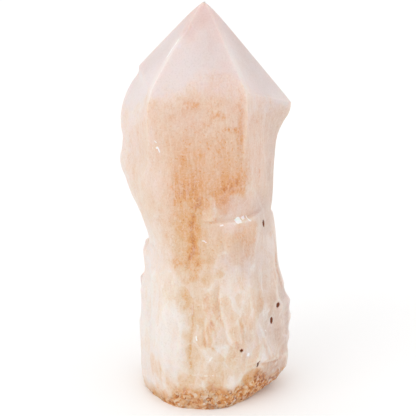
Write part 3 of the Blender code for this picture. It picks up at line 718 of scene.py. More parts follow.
MILK_LINES = [
    ([(-6.6, 116), (-6.9, 105), (-5.5, 94)], 0.35, 0.35), ([(-49, 116), (-49, 100), (-48, 88)], 0.7, 0.35),
    ([(6.7, 79.6), (12.9, 83.2), (21, 86.2), (32.2, 86.9), (43.8, 85), (58.8, 78), (73.5, 70.4)], 0.8, 0.40),
    ([(34, 86.2), (44, 84.5), (53, 79), (62, 72)], 0.7, 0.35),
    ([(22, 72.6), (34, 73.4), (50, 72.4)], 0.8, 0.6), ([(5.2, 84.4), (7.5, 80.1), (8.9, 75)], 1.3, 0.55),
    ([(57.6, 69.5), (53, 64), (44, 60)], 1.1, 0.45), ([(-6.6, 35), (-6.5, 28)], 0.6, 0.80),
    ([(11.9, 46), (14, 36.2), (19.8, 28.4), (25.5, 22.4)], 0.5, 0.40),
    ([(0.4, 38), (0.1, 30), (0.8, 24)], 0.4, 0.35),
    ([(0.8, 17.6), (3.7, 22.2), (11.8, 24.8), (21, 26.4)], 1.0, 0.75),
    ([(37, 22.6), (36, 19), (33, 14)], 0.8, 0.50), ([(46.5, 33), (49.8, 30.2), (55.3, 22)], 0.9, 0.60),
    ([(74, 28), (80, 20), (78, 15)], 0.6, 0.35), ([(36, 12), (28, 10.6), (20, 9.4)], 0.6, 0.55),
    ([(-12, 14), (-2.2, 14.6), (8, 14.6)], 0.5, 0.70), ([(-9, 128.6), (12, 128.2), (33, 128.9)], 0.3, 0.22),
    ([(44, 106), (46, 96), (42, 88)], 0.6, 0.35), ([(60, 106), (66, 92), (63, 80)], 0.6, 0.30),
    ([(-84, 104), (-83, 92), (-80, 82)], 1.6, 0.45), ([(-60, 48), (-64, 34), (-58, 22)], 1.8, 0.40),
    ([(-33, 40), (-30, 28), (-34, 16)], 1.6, 0.45), ([(112, 66), (120, 58), (136, 56)], 1.0, 0.45),
    ([(208, 58), (206, 40), (210, 22)], 1.2, 0.45), ([(246, 54), (240, 36), (244, 20)], 1.5, 0.45),
    ([(130, 104), (128, 90), (132, 78)], 0.7, 0.35), ([(176, 108), (180, 94), (176, 82)], 0.8, 0.35),
    ([(262, 98), (258, 84), (262, 70)], 0.9, 0.35),
]
# dark grains: azimuth, height, half width and half height
GRAINS = [
    (-12.5, 79.2, 0.35, 0.35), (-7.5, 78.5, 0.30, 0.30), (-6.0, 77.0, 0.35, 0.40), (-4.8, 80.6, 0.28, 0.30),
    (-9.5, 77.6, 0.25, 0.25), (50.5, 107.5, 0.35, 0.40), (-74, 60.5, 0.35, 0.35), (-52, 43.0, 0.40, 0.30),
    (-30, 12.5, 0.35, 0.35), (26.5, 25.0, 0.45, 0.30), (31, 23.8, 0.35, 0.30), (61, 20.5, 0.40, 0.35),
    (120, 70, 0.40, 0.40), (170, 44, 0.35, 0.40), (204, 76, 0.35, 0.35), (248, 40, 0.40, 0.35),
]
GRAIN_SHARE, GRAIN_SOFT = 0.13, 0.9
PIT_STAIN = 0.45
# the rust that has crept up out of the crust
CRUST_STAIN, CRUST_STAIN_REACH = 0.64, 9.0
MILK_UNDER_STAIN, MILK_STAIN_REACH, MILK_SOFT = 0.7, 0.6 * CRUST_STAIN_REACH, 1.1
# each chip has a tone of its own: how much that moves the rust, the share of it left high up, the milk it
# adds, and the tone from which it does so and over what range
TONE_SWING, TONE_UPPER_SHARE, MILKY_TONES = 0.40, 0.3, 0.55
MILKY_FROM, MILKY_RANGE = 0.60, 0.12
# milk flecks: azimuth, height, half width, half height and level
MILK_DABS = [
    (-69, 32.4, 1.6, 2.6, 0.9), (-65, 23.5, 1.2, 2.0, 0.6), (-26, 34, 1.4, 4.0, 0.7),
    (-23.6, 21.4, 1.4, 1.8, 0.95), (-50, 28.5, 2.2, 4.0, 0.5), (-33, 26, 2.4, 4.0, 0.6),
    (22, 10.6, 1.8, 0.9, 0.8), (17, 40, 2.0, 4.5, 0.5), (25, 46, 4.0, 5.0, 0.35), (14, 60.3, 2.6, 0.9, 0.6),
    (62, 48, 6, 7, 0.35), (4.5, 20.6, 1.8, 1.6, 0.7), (-66, 41, 1.6, 5, 0.9), (-57, 28, 1.2, 6, 0.85),
    (-41, 33, 1.4, 7, 0.7), (-34, 20, 1.6, 4, 0.8), (-72, 22, 1.5, 5, 0.7), (-20, 40, 1.4, 5, 0.6),
    (32, 40, 2.0, 6, 0.7), (40, 29, 1.4, 4, 0.6), (56, 33, 1.6, 4, 0.7), (50, 19, 1.2, 3.4, 0.8),
    (28, 55, 2.4, 4.5, 0.55), (45, 55, 2.2, 4, 0.6), (70, 58, 2.0, 6, 0.5), (-36, 8, 3.0, 2.2, 0.5),
    (-62, 34, 9, 15, 0.55), (-27, 31, 3.5, 12, 0.45), (-50, 7, 7, 4, 0.35), (22, 22.5, 5, 1.6, 0.4),
    (12, 21, 4, 3, 0.45), (-70, 62, 7, 8, 0.35), (150, 40, 5, 9, 0.5), (232, 40, 5, 10, 0.6),
    (186, 24, 5, 7, 0.5),
]
# painted highlights, white marks where fresh breaks catch the light: path, half width and amount
PAINTED_GLINTS = [
    ([(26, 73.1), (29, 74.0), (32, 73.5)], 0.95, 1.0), ([(33, 74.0), (37, 74.2)], 0.5, 0.8),
    ([(12, 72.7), (16, 73.0)], 0.36, 0.7), ([(-51.5, 138), (-53.5, 134.5), (-55.5, 131)], 0.8, 0.62),
    ([(39, 74.6), (39.9, 73.2)], 0.32, 0.8), ([(40, 73.2), (42, 72.6), (44, 72.2)], 0.32, 0.7),
    ([(-3, 66.2), (-1, 66.8), (1.6, 65.8)], 0.30, 0.75), ([(16, 66.9), (16.6, 65.5)], 0.25, 0.5),
    ([(-41.5, 103.9), (-39.0, 102.8)], 0.30, 0.65),
    ([(-41, 100.4), (-38.6, 101.4), (-37.6, 99.4)], 0.35, 0.75), ([(-44, 101.5), (-43, 100.2)], 0.25, 0.5),
    ([(54, 28.6), (57, 27.6)], 0.30, 0.5), ([(36.5, 21.9), (36.0, 20.1)], 0.50, 0.7),
    ([(5.6, 14.9), (7.4, 14.6)], 0.3, 0.6), ([(-6.5, 30.5), (-6.4, 28.0)], 0.35, 0.7),
    ([(2, 19.5), (6, 22.5)], 0.5, 0.5), ([(-2, 14.3), (4, 14.9)], 0.3, 0.5),
    ([(146, 88), (149, 86)], 0.5, 0.9), ([(226, 70), (229, 71)], 0.5, 0.9),
    ([(184, 60), (188, 59)], 0.5, 0.9),
]
rust = np.maximum(rust, CRUST_STAIN * smooth((crust_edge + CRUST_STAIN_REACH - height) / CRUST_STAIN_REACH))
rust = np.clip(rust + TONE_SWING * (low + TONE_UPPER_SHARE) * (tone - 0.5) * stained, 0, 1)
stains = np.maximum(drawn(RUST_LINES), PIT_STAIN * pit_rims)
milk = np.maximum(drawn(MILK_LINES), painted(np.zeros(reach.shape), MILK_DABS, MILK_SOFT))
milk = np.maximum(milk, MILKY_TONES * low * smooth((tone - MILKY_FROM) / MILKY_RANGE))
milk *= 1 - MILK_UNDER_STAIN * smooth((crust_edge + MILK_STAIN_REACH - height) / CRUST_STAIN_REACH)
painted_glints = drawn(PAINTED_GLINTS)
for values in GRAINS:
    pits = np.maximum(pits, GRAIN_SHARE * oval(azimuth, height, *values, GRAIN_SOFT))
print("mean rust and milk:", round(float(rust.mean()), 2), round(float(milk.mean()), 2))

# %% [markdown]
# ## Rose, mauve and cream
#
# The tip is rosier than the rest, as rose quartz is, the sides that turn away to the right are a cool mauve
# grey, partly the stone's own tint and partly painted shade on the side away from the lamp, and low down the
# stone is cream. Three more maps hold these tints, painted in the same way.

# %% Dabs of rose, mauve and cream
ROSE = [
    (-8, 146, 60, 7.5, 0.9), (12, 137.5, 4, 3.0, 0.4), (48, 112, 11, 8, 0.40), (28, 118, 6, 5, 0.35),
    (14, 125, 12, 4, 0.5), (30, 78, 9, 6, 0.55), (60, 98, 10, 14, 0.35), (56, 76, 7, 6, 0.5),
    (28, 58, 7, 5, 0.45), (-14, 112, 8, 6, 0.3), (150, 138, 40, 8, 0.6), (108, 84, 12, 14, 0.3),
]
# mauve tint together with painted shade: the right-hand sides away from the lamp and a band at the very foot
MAUVE_AND_SHADE = [
    (14, 133, 14, 5, 0.25), (36, 58, 9, 8, 0.3), (84, 128, 14, 14, 0.6), (-84, 132, 10, 10, 0.4),
    (80, 110, 8, 12, 0.45), (86, 86, 7, 20, 0.65), (66, 72, 7, 9, 0.7), (60, 52, 9, 10, 0.50),
    (66, 30, 9, 12, 0.70), (90, 30, 8, 18, 0.95), (40, 24, 6, 8, 0.35), (20, 1, 18, 1.5, 0.6),
    (72, 9, 8, 5, 0.9), (130, 112, 14, 12, 0.4), (230, 112, 14, 10, 0.35), (126, 30, 10, 12, 0.5),
]
CREAM = [
    (-55, 30, 22, 30, 0.75), (-15, 34, 16, 30, 1.0), (14, 34, 14, 26, 0.9), (40, 30, 10, 22, 0.5),
    (12, 14, 16, 10, 1.0), (-14, 68, 8, 14, 0.6), (-62, 74, 10, 14, 0.5), (16, 60, 9, 6, 0.6),
    (150, 34, 18, 26, 0.7), (228, 34, 18, 26, 0.7),
]
TINT_SOFT, ROSE_SOFT = 1.2, 1.0
cream = painted(np.zeros(reach.shape), CREAM, TINT_SOFT)
rose = painted(np.zeros(reach.shape), ROSE, ROSE_SOFT)
mauve_and_shade = painted(np.zeros(reach.shape), MAUVE_AND_SHADE, TINT_SOFT)
print("mean rose and mauve:", round(float(rose.mean()), 2), round(float(mauve_and_shade.mean()), 2))

# %% [markdown]
# ## Edges of the head
#
# The edges of the pyramid are lightly worn, and along each a thin pale line is painted as a highlight, with a
# paler band beside it painted as the glow where light leaks out of the thin edge. Under the front face the
# edge of the head is worn round, so the face runs into the body without a line, while on the right the rim is
# still sharp.

# %% Edge lines and the worn rim
EDGE_LINE_WIDTH, EDGE_BAND_WIDTH, EDGE_BAND_BORDER = 0.35, 1.7, 0.3
EDGE_START, EDGE_FADE, BAND_TOP, BAND_FADE = 5, 4.0, 146, 18
RIM_WEAR_REACH, RIM_SLOPE_CHANGE = 6.0, 0.72
# how far the rim is worn round at azimuths all round, 0 to 1
RIM_WEAR = [
    (-180, 0.5), (-110, 0.1), (-75, 0.2), (-48, 0.8), (0, 1.0), (24, 1.0), (36, 0.25), (95, 0.1), (140, 0.4),
    (180, 0.5),
]
painted_edge_highlight, painted_edge_glow = np.zeros(reach.shape), np.zeros(reach.shape)
for edge in EDGES:
    on_head = height >= edge["rim"]
    corner = float(curve(np.array(edge["rim"]), edge["azimuth"]))
    away = (azimuth - np.where(on_head, corner, curve(height, edge["azimuth"])) + 180) % 360 - 180
    gap = np.radians(away) * plain
    outwards = gap * (1 if corner > 0 else -1)
    fade = smooth((height - edge["rim"] + EDGE_START) / EDGE_FADE)
    painted_edge_highlight = np.maximum(painted_edge_highlight, fade * np.exp(-((gap / EDGE_LINE_WIDTH) ** 2)))
    band = smooth(outwards / EDGE_BAND_BORDER + 0.5) * smooth(2 - outwards / EDGE_BAND_WIDTH)
    band = band * smooth((BAND_TOP - height) / BAND_FADE)
    painted_edge_glow = np.maximum(painted_edge_glow, fade * band)
    reach -= fade * CREST_WEAR * np.exp(-np.abs(gap) / CREST_WIDTH)
rim_height = plain_grid[HEAD_ROWS, :, 2]
near_rim = np.clip(RIM_WEAR_REACH - np.abs(height - rim_height), 0, None) ** 2 / (4 * RIM_WEAR_REACH)
rim_wear = curve(azimuth, RIM_WEAR) * RIM_SLOPE_CHANGE * near_rim
reach -= rim_wear
print("deepest rim wear in mm:", round(float(rim_wear.max()), 2))

# %% [markdown]
# ## From the grid to a mesh
#
# The distances become points, the tip and the base are closed with fans, and each quad is wound so that it
# faces outwards. The maps go with the points as named attributes.

# %% Build the mesh of the large crystal
def points_of(reach):
    """Each plain point moved out or in by distance / plain distance, then set on the model's own axis."""
    scale = (reach / plain)[..., None]
    points = plain_grid * np.concatenate([scale, scale, np.ones_like(scale)], -1)
    return points + (CENTRE_SHIFT[0], CENTRE_SHIFT[1], 0)


def closed_faces(rows, columns):
    """Quads of a grid that closes on itself sideways, with triangle fans to a tip and to a base point."""
    i, j = np.meshgrid(np.arange(rows - 1), np.arange(columns), indexing="ij")
    after = (j + 1) % columns
    above, below = i * columns, (i + 1) * columns
    quads = np.stack([above + j, below + j, below + after, above + after], -1)
    k = np.arange(columns)
    tip, base, last = rows * columns, rows * columns + 1, (rows - 1) * columns
    top = np.stack([np.full(columns, tip), k, (k + 1) % columns], -1)
    bottom = np.stack([np.full(columns, base), last + (k + 1) % columns, last + k], -1)
    return quads.reshape(-1, 4).tolist() + top.tolist() + bottom.tolist()


def mesh_from(name, points, faces):
    """A mesh of these points, given in millimetres."""
    mesh = bpy.data.meshes.new(name)
    mesh.from_pydata([tuple(p) for p in points * MM], [], faces)
    mesh.update()
    return mesh


rows, columns = reach.shape
tip = (APEX[0] + CENTRE_SHIFT[0], APEX[1] + CENTRE_SHIFT[1], HEIGHT)
points = np.concatenate([points_of(reach).reshape(-1, 3), [tip, (0, 0, 0)]])
crystal_mesh = mesh_from("quartz_crystal", points, closed_faces(rows, columns))
fields = dict(
    rust=rust, milk=milk, rose=rose, mauve_and_shade=mauve_and_shade, cream=cream, painted_glints=painted_glints, crust=crust, pits=pits,
    stains=stains, weathered=weathered, ridges=ridges, hollows=hollows, painted_edge_highlight=painted_edge_highlight,
    painted_edge_glow=painted_edge_glow, large=np.ones(reach.shape),
)
for name, field in fields.items():
    layer = crystal_mesh.attributes.new(name, "FLOAT", "POINT")
    values = np.concatenate([field.ravel(), [field[0].mean(), field[-1].mean()]])
    layer.data.foreach_set("value", values.astype(np.float32))
crystal = bpy.data.objects.new("quartz_crystal", crystal_mesh)
bpy.context.scene.collection.objects.link(crystal)
print("vertices:", len(crystal_mesh.vertices), "faces:", len(crystal_mesh.polygons))

# %% [markdown]
# ## The smaller crystals
#
# Four smaller crystals grow out of the back and the right side, each a true six-sided prism with its own
# pyramid. Flat faces and straight edges are what makes them crystals, so they aren't pressed into the grid
# but built as solids and joined to the large one with a Boolean union. Under them a cone takes their feet
# away, as the break has done.
#
# One fault is left. They are meant to be stained like the stone round them, but after the union the corners
# of their flat faces carry large = 1 and the values of the clean head. The fields below are given only to
# points where large is under a half. Nearly all of those lie along the seams, so the faces keep the look of
# the head.

# %% Build a small crystal
# azimuth and height of the tip, its distance from the main axis, half width across the flats, turn and lean
CRYSTALS = {
    "crystal_back_right": (150, 58, 25.5, 6.5, 8, 6),
    "crystal_back": (186, 76, 24.0, 7.5, 20, 4),
    "crystal_back_left": (232, 46, 23.5, 6.0, 5, 6),
    "crystal_right": (114, 38, 26.5, 6.0, 14, 8),
}
PYRAMID_SLOPE = 51.8
CRYSTAL_FOOT_RADIUS, CRYSTAL_FOOT_HEIGHT, CRYSTAL_FOOT_RISE = 19.0, 1.0, 90.0
CRYSTAL_BEVEL, CRYSTAL_ROWS = 0.25, 14


def ring(count, radius, height, offset=0.5):
    """Points evenly round a circle: (radius x sin turn, -radius x cos turn, height)."""
    turn = np.radians((np.arange(count) + offset) * 360 / count)
    return np.stack([radius * np.sin(turn), -radius * np.cos(turn), np.full(count, float(height))], -1)


def small_crystal(name, azimuth, tip_height, tip_reach, half_width, turn, lean):
    """Rings of six points down the prism and a pyramid on top, its tip at the origin until it is placed."""
    corner = half_width / math.cos(math.radians(30))
    head = half_width * math.tan(math.radians(PYRAMID_SLOPE))
    heights = np.linspace(-head, CRYSTAL_FOOT_HEIGHT - tip_height, CRYSTAL_ROWS)
    rings = [ring(6, corner, height) for height in heights]
    points = np.concatenate(rings + [[(0, 0, 0), (0, 0, heights[-1])]])
    mesh = mesh_from(name, points, closed_faces(CRYSTAL_ROWS, 6))
    angle = math.radians(azimuth)
    x = tip_reach * math.sin(angle) + CENTRE_SHIFT[0]
    y = -tip_reach * math.cos(angle) + CENTRE_SHIFT[1]
    place = Vector((x, y, tip_height)) * MM
    outwards = Matrix.Rotation(angle, 4, "Z") @ Matrix.Rotation(math.radians(lean), 4, "X")
    mesh.transform(Matrix.Translation(place) @ outwards @ Matrix.Rotation(math.radians(turn), 4, "Z"))
    return mesh


def helper(name, mesh):
    """A solid that is used for a Boolean and then removed."""
    obj = bpy.data.objects.new(name, mesh)
    bpy.context.scene.collection.objects.link(obj)
    return obj


def add_boolean(obj, other, operation):
    modifier = obj.modifiers.new(other.name, "BOOLEAN")
    modifier.operation = operation
    modifier.solver = "EXACT"
    modifier.object = other


def applied(obj):
    """The object's mesh as its modifiers leave it."""
    return bpy.data.meshes.new_from_object(obj.evaluated_get(bpy.context.evaluated_depsgraph_get()))


# %% Join them
FOOT_SIDES = 48
foot_top = CRYSTAL_FOOT_HEIGHT + CRYSTAL_FOOT_RISE
foot_points = np.concatenate([
    ring(FOOT_SIDES, CRYSTAL_FOOT_RADIUS + CRYSTAL_FOOT_RISE, foot_top),
    ring(FOOT_SIDES, CRYSTAL_FOOT_RADIUS, CRYSTAL_FOOT_HEIGHT),
    [(0, 0, foot_top), (0, 0, CRYSTAL_FOOT_HEIGHT)],
])
foot_mesh = mesh_from("crystal_foot", foot_points + (*CENTRE_SHIFT, 0), closed_faces(2, FOOT_SIDES))
foot = helper("crystal_foot", foot_mesh)
helpers = [foot]
for name, values in CRYSTALS.items():
    small = helper(name, small_crystal(name, *values))
    add_boolean(small, foot, "INTERSECT")
    bevel = small.modifiers.new("worn_edges", "BEVEL")
    bevel.width = CRYSTAL_BEVEL * MM
    bevel.segments = 1
    add_boolean(crystal, small, "UNION")
    helpers.append(small)
joined = applied(crystal)
crystal.modifiers.clear()
crystal.data = joined
for obj in helpers:
    bpy.data.objects.remove(obj)
heights = np.empty(3 * len(joined.vertices), np.float32)
joined.vertices.foreach_get("co", heights)
heights = heights[2::3] / MM
large = np.empty(len(joined.vertices), np.float32)
joined.attributes["large"].data.foreach_get("value", large)
takes_fields = large < 0.5
print("points that take the fields:", int(takes_fields.sum()))
SHARP_EDGE = math.radians(32)
small_fields = dict(
    rust=0.60 - 0.32 * smooth(heights / 32), cream=np.ones(heights.shape), weathered=np.ones(heights.shape),
    crust=smooth((5 - heights) / 3), milk=0.5 * smooth((heights - 14) / 30),
)
for name, field in small_fields.items():
    values = np.empty(len(joined.vertices), np.float32)
    layer = joined.attributes[name].data
    layer.foreach_get("value", values)
    layer.foreach_set("value", np.where(takes_fields, field, values).astype(np.float32))
joined.shade_smooth()
joined.set_sharp_from_angle(angle=SHARP_EDGE)
print("after the union:", len(joined.vertices), "vertices", len(joined.polygons), "faces")

# %% [markdown]
# ## The stone's material
#
# Milky quartz is clear quartz full of tiny bubbles and threads. Light enters, scatters, and leaves some
# millimetres away, so the base is subsurface scattering with a little plain transmission under a surface of
# quartz's own refractive index, 1.544. The maps choose the colours. Noise of many sizes breaks every border,
# from grit of half a millimetre to clouds of nine, with fibres along the crystal and two nets of veins.

# %% Node helpers
stone = bpy.data.materials.new("milky_quartz")
stone.use_nodes = True
nodes, links = stone.node_tree.nodes, stone.node_tree.links
shader = nodes["Principled BSDF"]
place = nodes.new("ShaderNodeTexCoord").outputs["Object"]


def feed(socket, value):
    """Links another socket, or sets a plain value."""
    if isinstance(value, bpy.types.NodeSocket):
        links.new(value, socket)
    else:
        socket.default_value = value


def maths(operation, a, b=0.0, clamp=False):
    """The result of one sum on two sockets or numbers, kept between 0 and 1 if it is clamped."""
    step = nodes.new("ShaderNodeMath")
    step.operation = operation
    step.use_clamp = clamp
    feed(step.inputs[0], a)
    feed(step.inputs[1], b)
    return step.outputs[0]


def times(a, b, clamp=False):
    """a x b"""
    return maths("MULTIPLY", a, b, clamp)


def plus(a, b, clamp=False):
    """a + b"""
    return maths("ADD", a, b, clamp)


def spread(value, low, high):
    """0 below low, 1 above high, smooth between."""
    step = nodes.new("ShaderNodeMapRange")
    step.interpolation_type = "SMOOTHSTEP"
    feed(step.inputs["Value"], value)
    step.inputs["From Min"].default_value = low
    step.inputs["From Max"].default_value = high
    return step.outputs["Result"]


def stretched(stretch):
    """Object coordinates drawn out upwards."""
    mapping = nodes.new("ShaderNodeMapping")
    mapping.inputs["Scale"].default_value = (1, 1, 1 / stretch)
    links.new(place, mapping.inputs["Vector"])
    return mapping.outputs["Vector"]


def noise(size, stretch=1.0, detail=3.0, roughness=0.55, distortion=0.0):
    """Noise with lumps of about size millimetres, 0.5 on average."""
    texture = nodes.new("ShaderNodeTexNoise")
    texture.inputs["Scale"].default_value = 1 / (size * MM)
    texture.inputs["Detail"].default_value = detail
    texture.inputs["Roughness"].default_value = roughness
    texture.inputs["Distortion"].default_value = distortion
    links.new(stretched(stretch), texture.inputs["Vector"])
    return texture.outputs["Fac"]


def cells(size, feature="F1", stretch=1.0):
    """Voronoi cells of about size millimetres."""
    texture = nodes.new("ShaderNodeTexVoronoi")
    texture.feature = feature
    texture.inputs["Scale"].default_value = 1 / (size * MM)
    links.new(stretched(stretch), texture.inputs["Vector"])
    return texture


def veins(size, stretch, width, wander_size=1.6, wander_reach=0.9):
    """1 along the borders of cells of about size millimetres, bent by noise, and 0 inside them."""
    wander = nodes.new("ShaderNodeTexNoise")
    wander.inputs["Scale"].default_value = wander_size / (size * MM)
    wander.inputs["Detail"].default_value = 3.0
    links.new(place, wander.inputs["Vector"])
    shift = nodes.new("ShaderNodeVectorMath")
    shift.operation = "MULTIPLY_ADD"
    links.new(wander.outputs["Color"], shift.inputs[0])
    shift.inputs[1].default_value = [wander_reach * size * MM] * 3
    links.new(stretched(stretch), shift.inputs[2])
    texture = cells(size, "DISTANCE_TO_EDGE")
    links.new(shift.outputs[0], texture.inputs["Vector"])
    return maths("SUBTRACT", 1.0, spread(texture.outputs["Distance"], 0.0, width))


def map_of(name):
    """The value of a named map at each point."""
    attribute = nodes.new("ShaderNodeAttribute")
    attribute.attribute_name = name
    return attribute.outputs["Fac"]


def swing(value, amount):
    """(value - 0.5) x amount, to push another value up and down."""
    return maths("MULTIPLY", maths("SUBTRACT", value, 0.5), amount)


def srgb(red, green, blue):
    """Linear colour of an 8-bit screen colour."""
    screen = np.array([red, green, blue]) / 255
    linear = np.where(screen <= 0.04045, screen / 12.92, ((screen + 0.055) / 1.055) ** 2.4)
    return (*[float(v) for v in linear], 1.0)


def tinted(colour, share, tint, blend="MIX"):
    """Colour x (1 - share) + tint x share, or another blend of the two."""
    step = nodes.new("ShaderNodeMix")
    step.data_type = "RGBA"
    step.blend_type = blend
    feed(step.inputs["Factor"], share)
    feed(step.inputs["A"], colour)
    feed(step.inputs["B"], tint)
    return step.outputs["Result"]


def ramp(value, stops):
    """A colour for each value, straight between the stops of (value, screen colour)."""
    step = nodes.new("ShaderNodeValToRGB")
    elements = step.color_ramp.elements
    while len(elements) < len(stops):
        elements.new(0.5)
    for element, (position, colour) in zip(elements, stops):
        element.position = position
        element.color = srgb(*colour)
    links.new(value, step.inputs["Fac"])
    return step.outputs["Color"]


# %% Patterns
fibres = noise(0.9, stretch=9.0, detail=4.0, roughness=0.6)
granules = noise(1.1, stretch=1.3, detail=4.0, roughness=0.7)
grit = noise(0.55, stretch=1.2, detail=2.0, roughness=0.6)
mottles = noise(3.2, stretch=1.8, detail=4.0, roughness=0.6)
clouds = noise(9.0, stretch=1.5, detail=3.0, distortion=0.6)
specks = noise(0.8, detail=1.0)
pale_veins = times(veins(3.4, 1.9, 0.07), spread(mottles, 0.42, 0.62))
rusty_veins = times(veins(2.3, 1.3, 0.10), spread(clouds, 0.46, 0.62))
body_share = map_of("weathered")
# how much of the fine pattern the clean head shows
HEAD_PATTERN = 0.15
busy = plus(times(body_share, 1 - HEAD_PATTERN), HEAD_PATTERN)

# %% Colour
RUST_RAMP = [
    (0.00, (231, 219, 218)), (0.20, (236, 216, 206)), (0.40, (231, 202, 180)), (0.60, (226, 184, 150)),
    (0.80, (224, 162, 100)), (1.00, (208, 128, 52)),
]
CREAM_RAMP = [
    (0.00, (238, 228, 221)), (0.20, (237, 220, 205)), (0.40, (232, 206, 180)), (0.60, (227, 192, 150)),
    (0.80, (224, 168, 98)), (1.00, (208, 130, 50)),
]
MILK_TINT = srgb(244, 238, 233)
ROSE_TINT = srgb(222, 186, 178)
MAUVE_SHADE_TINT = srgb(194, 172, 166)
PAINTED_GLINT_TINT = srgb(252, 250, 250)
# the darker colour of the grit's painted shade
SHADE_TINT = srgb(238, 236, 232)
CRUST_RAMP = [
    (0.0, (170, 94, 40)), (0.25, (214, 140, 74)), (0.55, (226, 172, 118)), (0.8, (236, 202, 166)),
    (1.0, (238, 218, 200)),
]
PIT_TINT = srgb(124, 54, 14)
# how far each pattern moves the level of rust
MOTTLE_SWING, GRANULE_SWING, FIBRE_SWING, CLOUD_SWING = 0.40, 0.50, 0.12, 0.18
VEIN_RUST, DOT_RUST, HOLLOW_RUST = 0.16, 0.22, 0.18
# how much of each tint its map brings
ROSE_CLOUDS, ROSE_SHARE, MAUVE_MOTTLES, MAUVE_SHARE, CRUST_MAUVE = 0.5, 0.6, 0.5, 0.35, 0.35
MILK_THREADS, MILK_SHARE, RIDGE_PAINTED_LIGHT, THREAD_MILK = 0.6, 0.5, 0.50, 0.30
# shares of the painted highlight on the head's edges and of the painted glow beside them
PAINTED_EDGE_HIGHLIGHT_SHARE, PAINTED_EDGE_GLOW_SHARE = 0.3, 0.6
GRIT_ON_BODY, GRIT_ALL_OVER, GRIT_PAINTED_SPARKLE = 0.15, 0.50, 0.30

wobble = plus(swing(mottles, MOTTLE_SWING), swing(granules, GRANULE_SWING))
wobble = plus(wobble, swing(fibres, FIBRE_SWING))
wobble = times(wobble, busy)
wobble = plus(wobble, swing(clouds, CLOUD_SWING))
level = plus(map_of("rust"), wobble)
level = plus(level, times(times(rusty_veins, body_share), VEIN_RUST))
dots = times(spread(specks, 0.62, 0.72), spread(map_of("rust"), 0.2, 0.6))
level = plus(level, times(dots, DOT_RUST))
level = plus(level, times(map_of("stains"), spread(granules, 0.34, 0.62)))
level = plus(level, times(map_of("hollows"), HOLLOW_RUST), clamp=True)
colour = tinted(ramp(level, RUST_RAMP), map_of("cream"), ramp(level, CREAM_RAMP))
rosy = plus(map_of("rose"), swing(clouds, ROSE_CLOUDS), clamp=True)
colour = tinted(colour, times(rosy, ROSE_SHARE), ROSE_TINT)
# mauve tint and painted shade: the sides away from the lamp are greyed
mauve_and_shade_share = times(map_of("mauve_and_shade"), plus(times(mottles, MAUVE_MOTTLES), MAUVE_SHARE))
colour = tinted(colour, mauve_and_shade_share, MAUVE_SHADE_TINT)
threads = maths("MAXIMUM", spread(plus(fibres, granules), 0.96, 1.22), pale_veins)
milk_share = times(map_of("milk"), plus(times(threads, MILK_THREADS), MILK_SHARE), clamp=True)
# painted highlight: ridges are mixed towards the milk colour
milk_share = maths("MAXIMUM", milk_share, times(map_of("ridges"), RIDGE_PAINTED_LIGHT))
milk_share = maths("MAXIMUM", milk_share, times(threads, times(body_share, THREAD_MILK)))
colour = tinted(colour, milk_share, MILK_TINT)
# painted highlight along the head's edges, and painted glow in the band beside them
colour = tinted(colour, times(map_of("painted_edge_highlight"), times(mottles, PAINTED_EDGE_HIGHLIGHT_SHARE)), MILK_TINT)
colour = tinted(colour, times(map_of("painted_edge_glow"), times(clouds, PAINTED_EDGE_GLOW_SHARE)), MILK_TINT)
# painted shade and painted sparkle: fine grit lightens and darkens the colour in specks, as the light on tiny
# bumps would
grit_painted_shading = plus(times(body_share, GRIT_ON_BODY), GRIT_ALL_OVER)
colour = tinted(colour, times(spread(grit, 0.5, 0.75), times(grit_painted_shading, GRIT_PAINTED_SPARKLE)), MILK_TINT)
colour = tinted(colour, times(spread(grit, 0.5, 0.25), grit_painted_shading), SHADE_TINT, "MULTIPLY")
grain_cells = cells(1.0)
grain_tone = nodes.new("ShaderNodeSeparateColor")
links.new(grain_cells.outputs["Color"], grain_tone.inputs["Color"])
crust_tone = plus(times(grain_tone.outputs["Red"], 0.8), swing(mottles, 1.2), clamp=True)
crust_share = times(map_of("crust"), spread(plus(granules, swing(mottles, 1.4)), 0.30, 0.46))
colour = tinted(colour, crust_share, ramp(crust_tone, CRUST_RAMP))
# the same mauve tint and painted shade laid over the crust
colour = tinted(colour, times(times(map_of("mauve_and_shade"), crust_share), CRUST_MAUVE), MAUVE_SHADE_TINT)
# painted highlight: the glint map turns the colour nearly white
painted_glint_share = spread(plus(map_of("painted_glints"), swing(granules, 0.6)), 0.30, 0.60)
colour = tinted(colour, painted_glint_share, PAINTED_GLINT_TINT)
pit_share = spread(plus(map_of("pits"), swing(granules, 0.12)), 0.06, 0.26)
colour = tinted(colour, pit_share, PIT_TINT)
links.new(colour, shader.inputs["Base Color"])

# %% Surface
HEAD_ROUGHNESS, BODY_ROUGHNESS, CRUST_ROUGHNESS, ROUGHNESS_SWING = 0.33, 0.38, 0.85, 0.15
BUMP_STRENGTH, BUMP_DEPTH = 0.7, 0.3 * MM
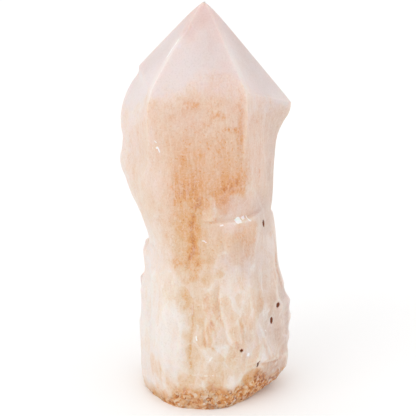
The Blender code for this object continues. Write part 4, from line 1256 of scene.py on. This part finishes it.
# heights of the patterns in the bump, and the share of it on the clean head
GRIT_BUMP, GRANULE_BUMP, CHIP_BUMP, CRUST_BUMP, HEAD_BUMP = 0.35, 0.7, 0.9, -2.0, 0.05
QUARTZ_IOR, CLEAR_SHARE, MILKY_SHARE = 1.544, 0.1, 0.75
SCATTER_RADIUS, SCATTER_REACH = (1.0, 0.62, 0.45), 4.0 * MM
roughness = plus(times(body_share, BODY_ROUGHNESS - HEAD_ROUGHNESS), HEAD_ROUGHNESS)
roughness = plus(roughness, swing(mottles, ROUGHNESS_SWING))
rough_places = maths("MAXIMUM", crust_share, pit_share)
rougher = times(rough_places, CRUST_ROUGHNESS - BODY_ROUGHNESS)
roughness = plus(roughness, rougher, clamp=True)
links.new(roughness, shader.inputs["Roughness"])

bump = nodes.new("ShaderNodeBump")
bump.inputs["Strength"].default_value = BUMP_STRENGTH
bump.inputs["Distance"].default_value = BUMP_DEPTH
small_chips = cells(2.4, "SMOOTH_F1", stretch=1.6).outputs["Distance"]
fine = plus(times(grit, GRIT_BUMP), times(granules, GRANULE_BUMP))
fine = plus(fine, times(small_chips, CHIP_BUMP))
crust_bump = times(grain_cells.outputs["Distance"], crust_share)
fine = plus(fine, times(crust_bump, CRUST_BUMP))
links.new(times(fine, plus(body_share, HEAD_BUMP)), bump.inputs["Height"])
links.new(bump.outputs["Normal"], shader.inputs["Normal"])

shader.inputs["IOR"].default_value = QUARTZ_IOR
shader.inputs["Transmission Weight"].default_value = CLEAR_SHARE
clear_places = maths("SUBTRACT", 1.0, rough_places, clamp=True)
links.new(times(clear_places, MILKY_SHARE), shader.inputs["Subsurface Weight"])
shader.inputs["Subsurface Radius"].default_value = SCATTER_RADIUS
shader.inputs["Subsurface Scale"].default_value = SCATTER_REACH

joined.materials.clear()
joined.materials.append(stone)
print("nodes in the material:", len(nodes))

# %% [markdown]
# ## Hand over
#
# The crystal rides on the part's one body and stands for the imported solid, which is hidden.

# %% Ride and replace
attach(crystal, "root")
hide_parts("quartz_point")
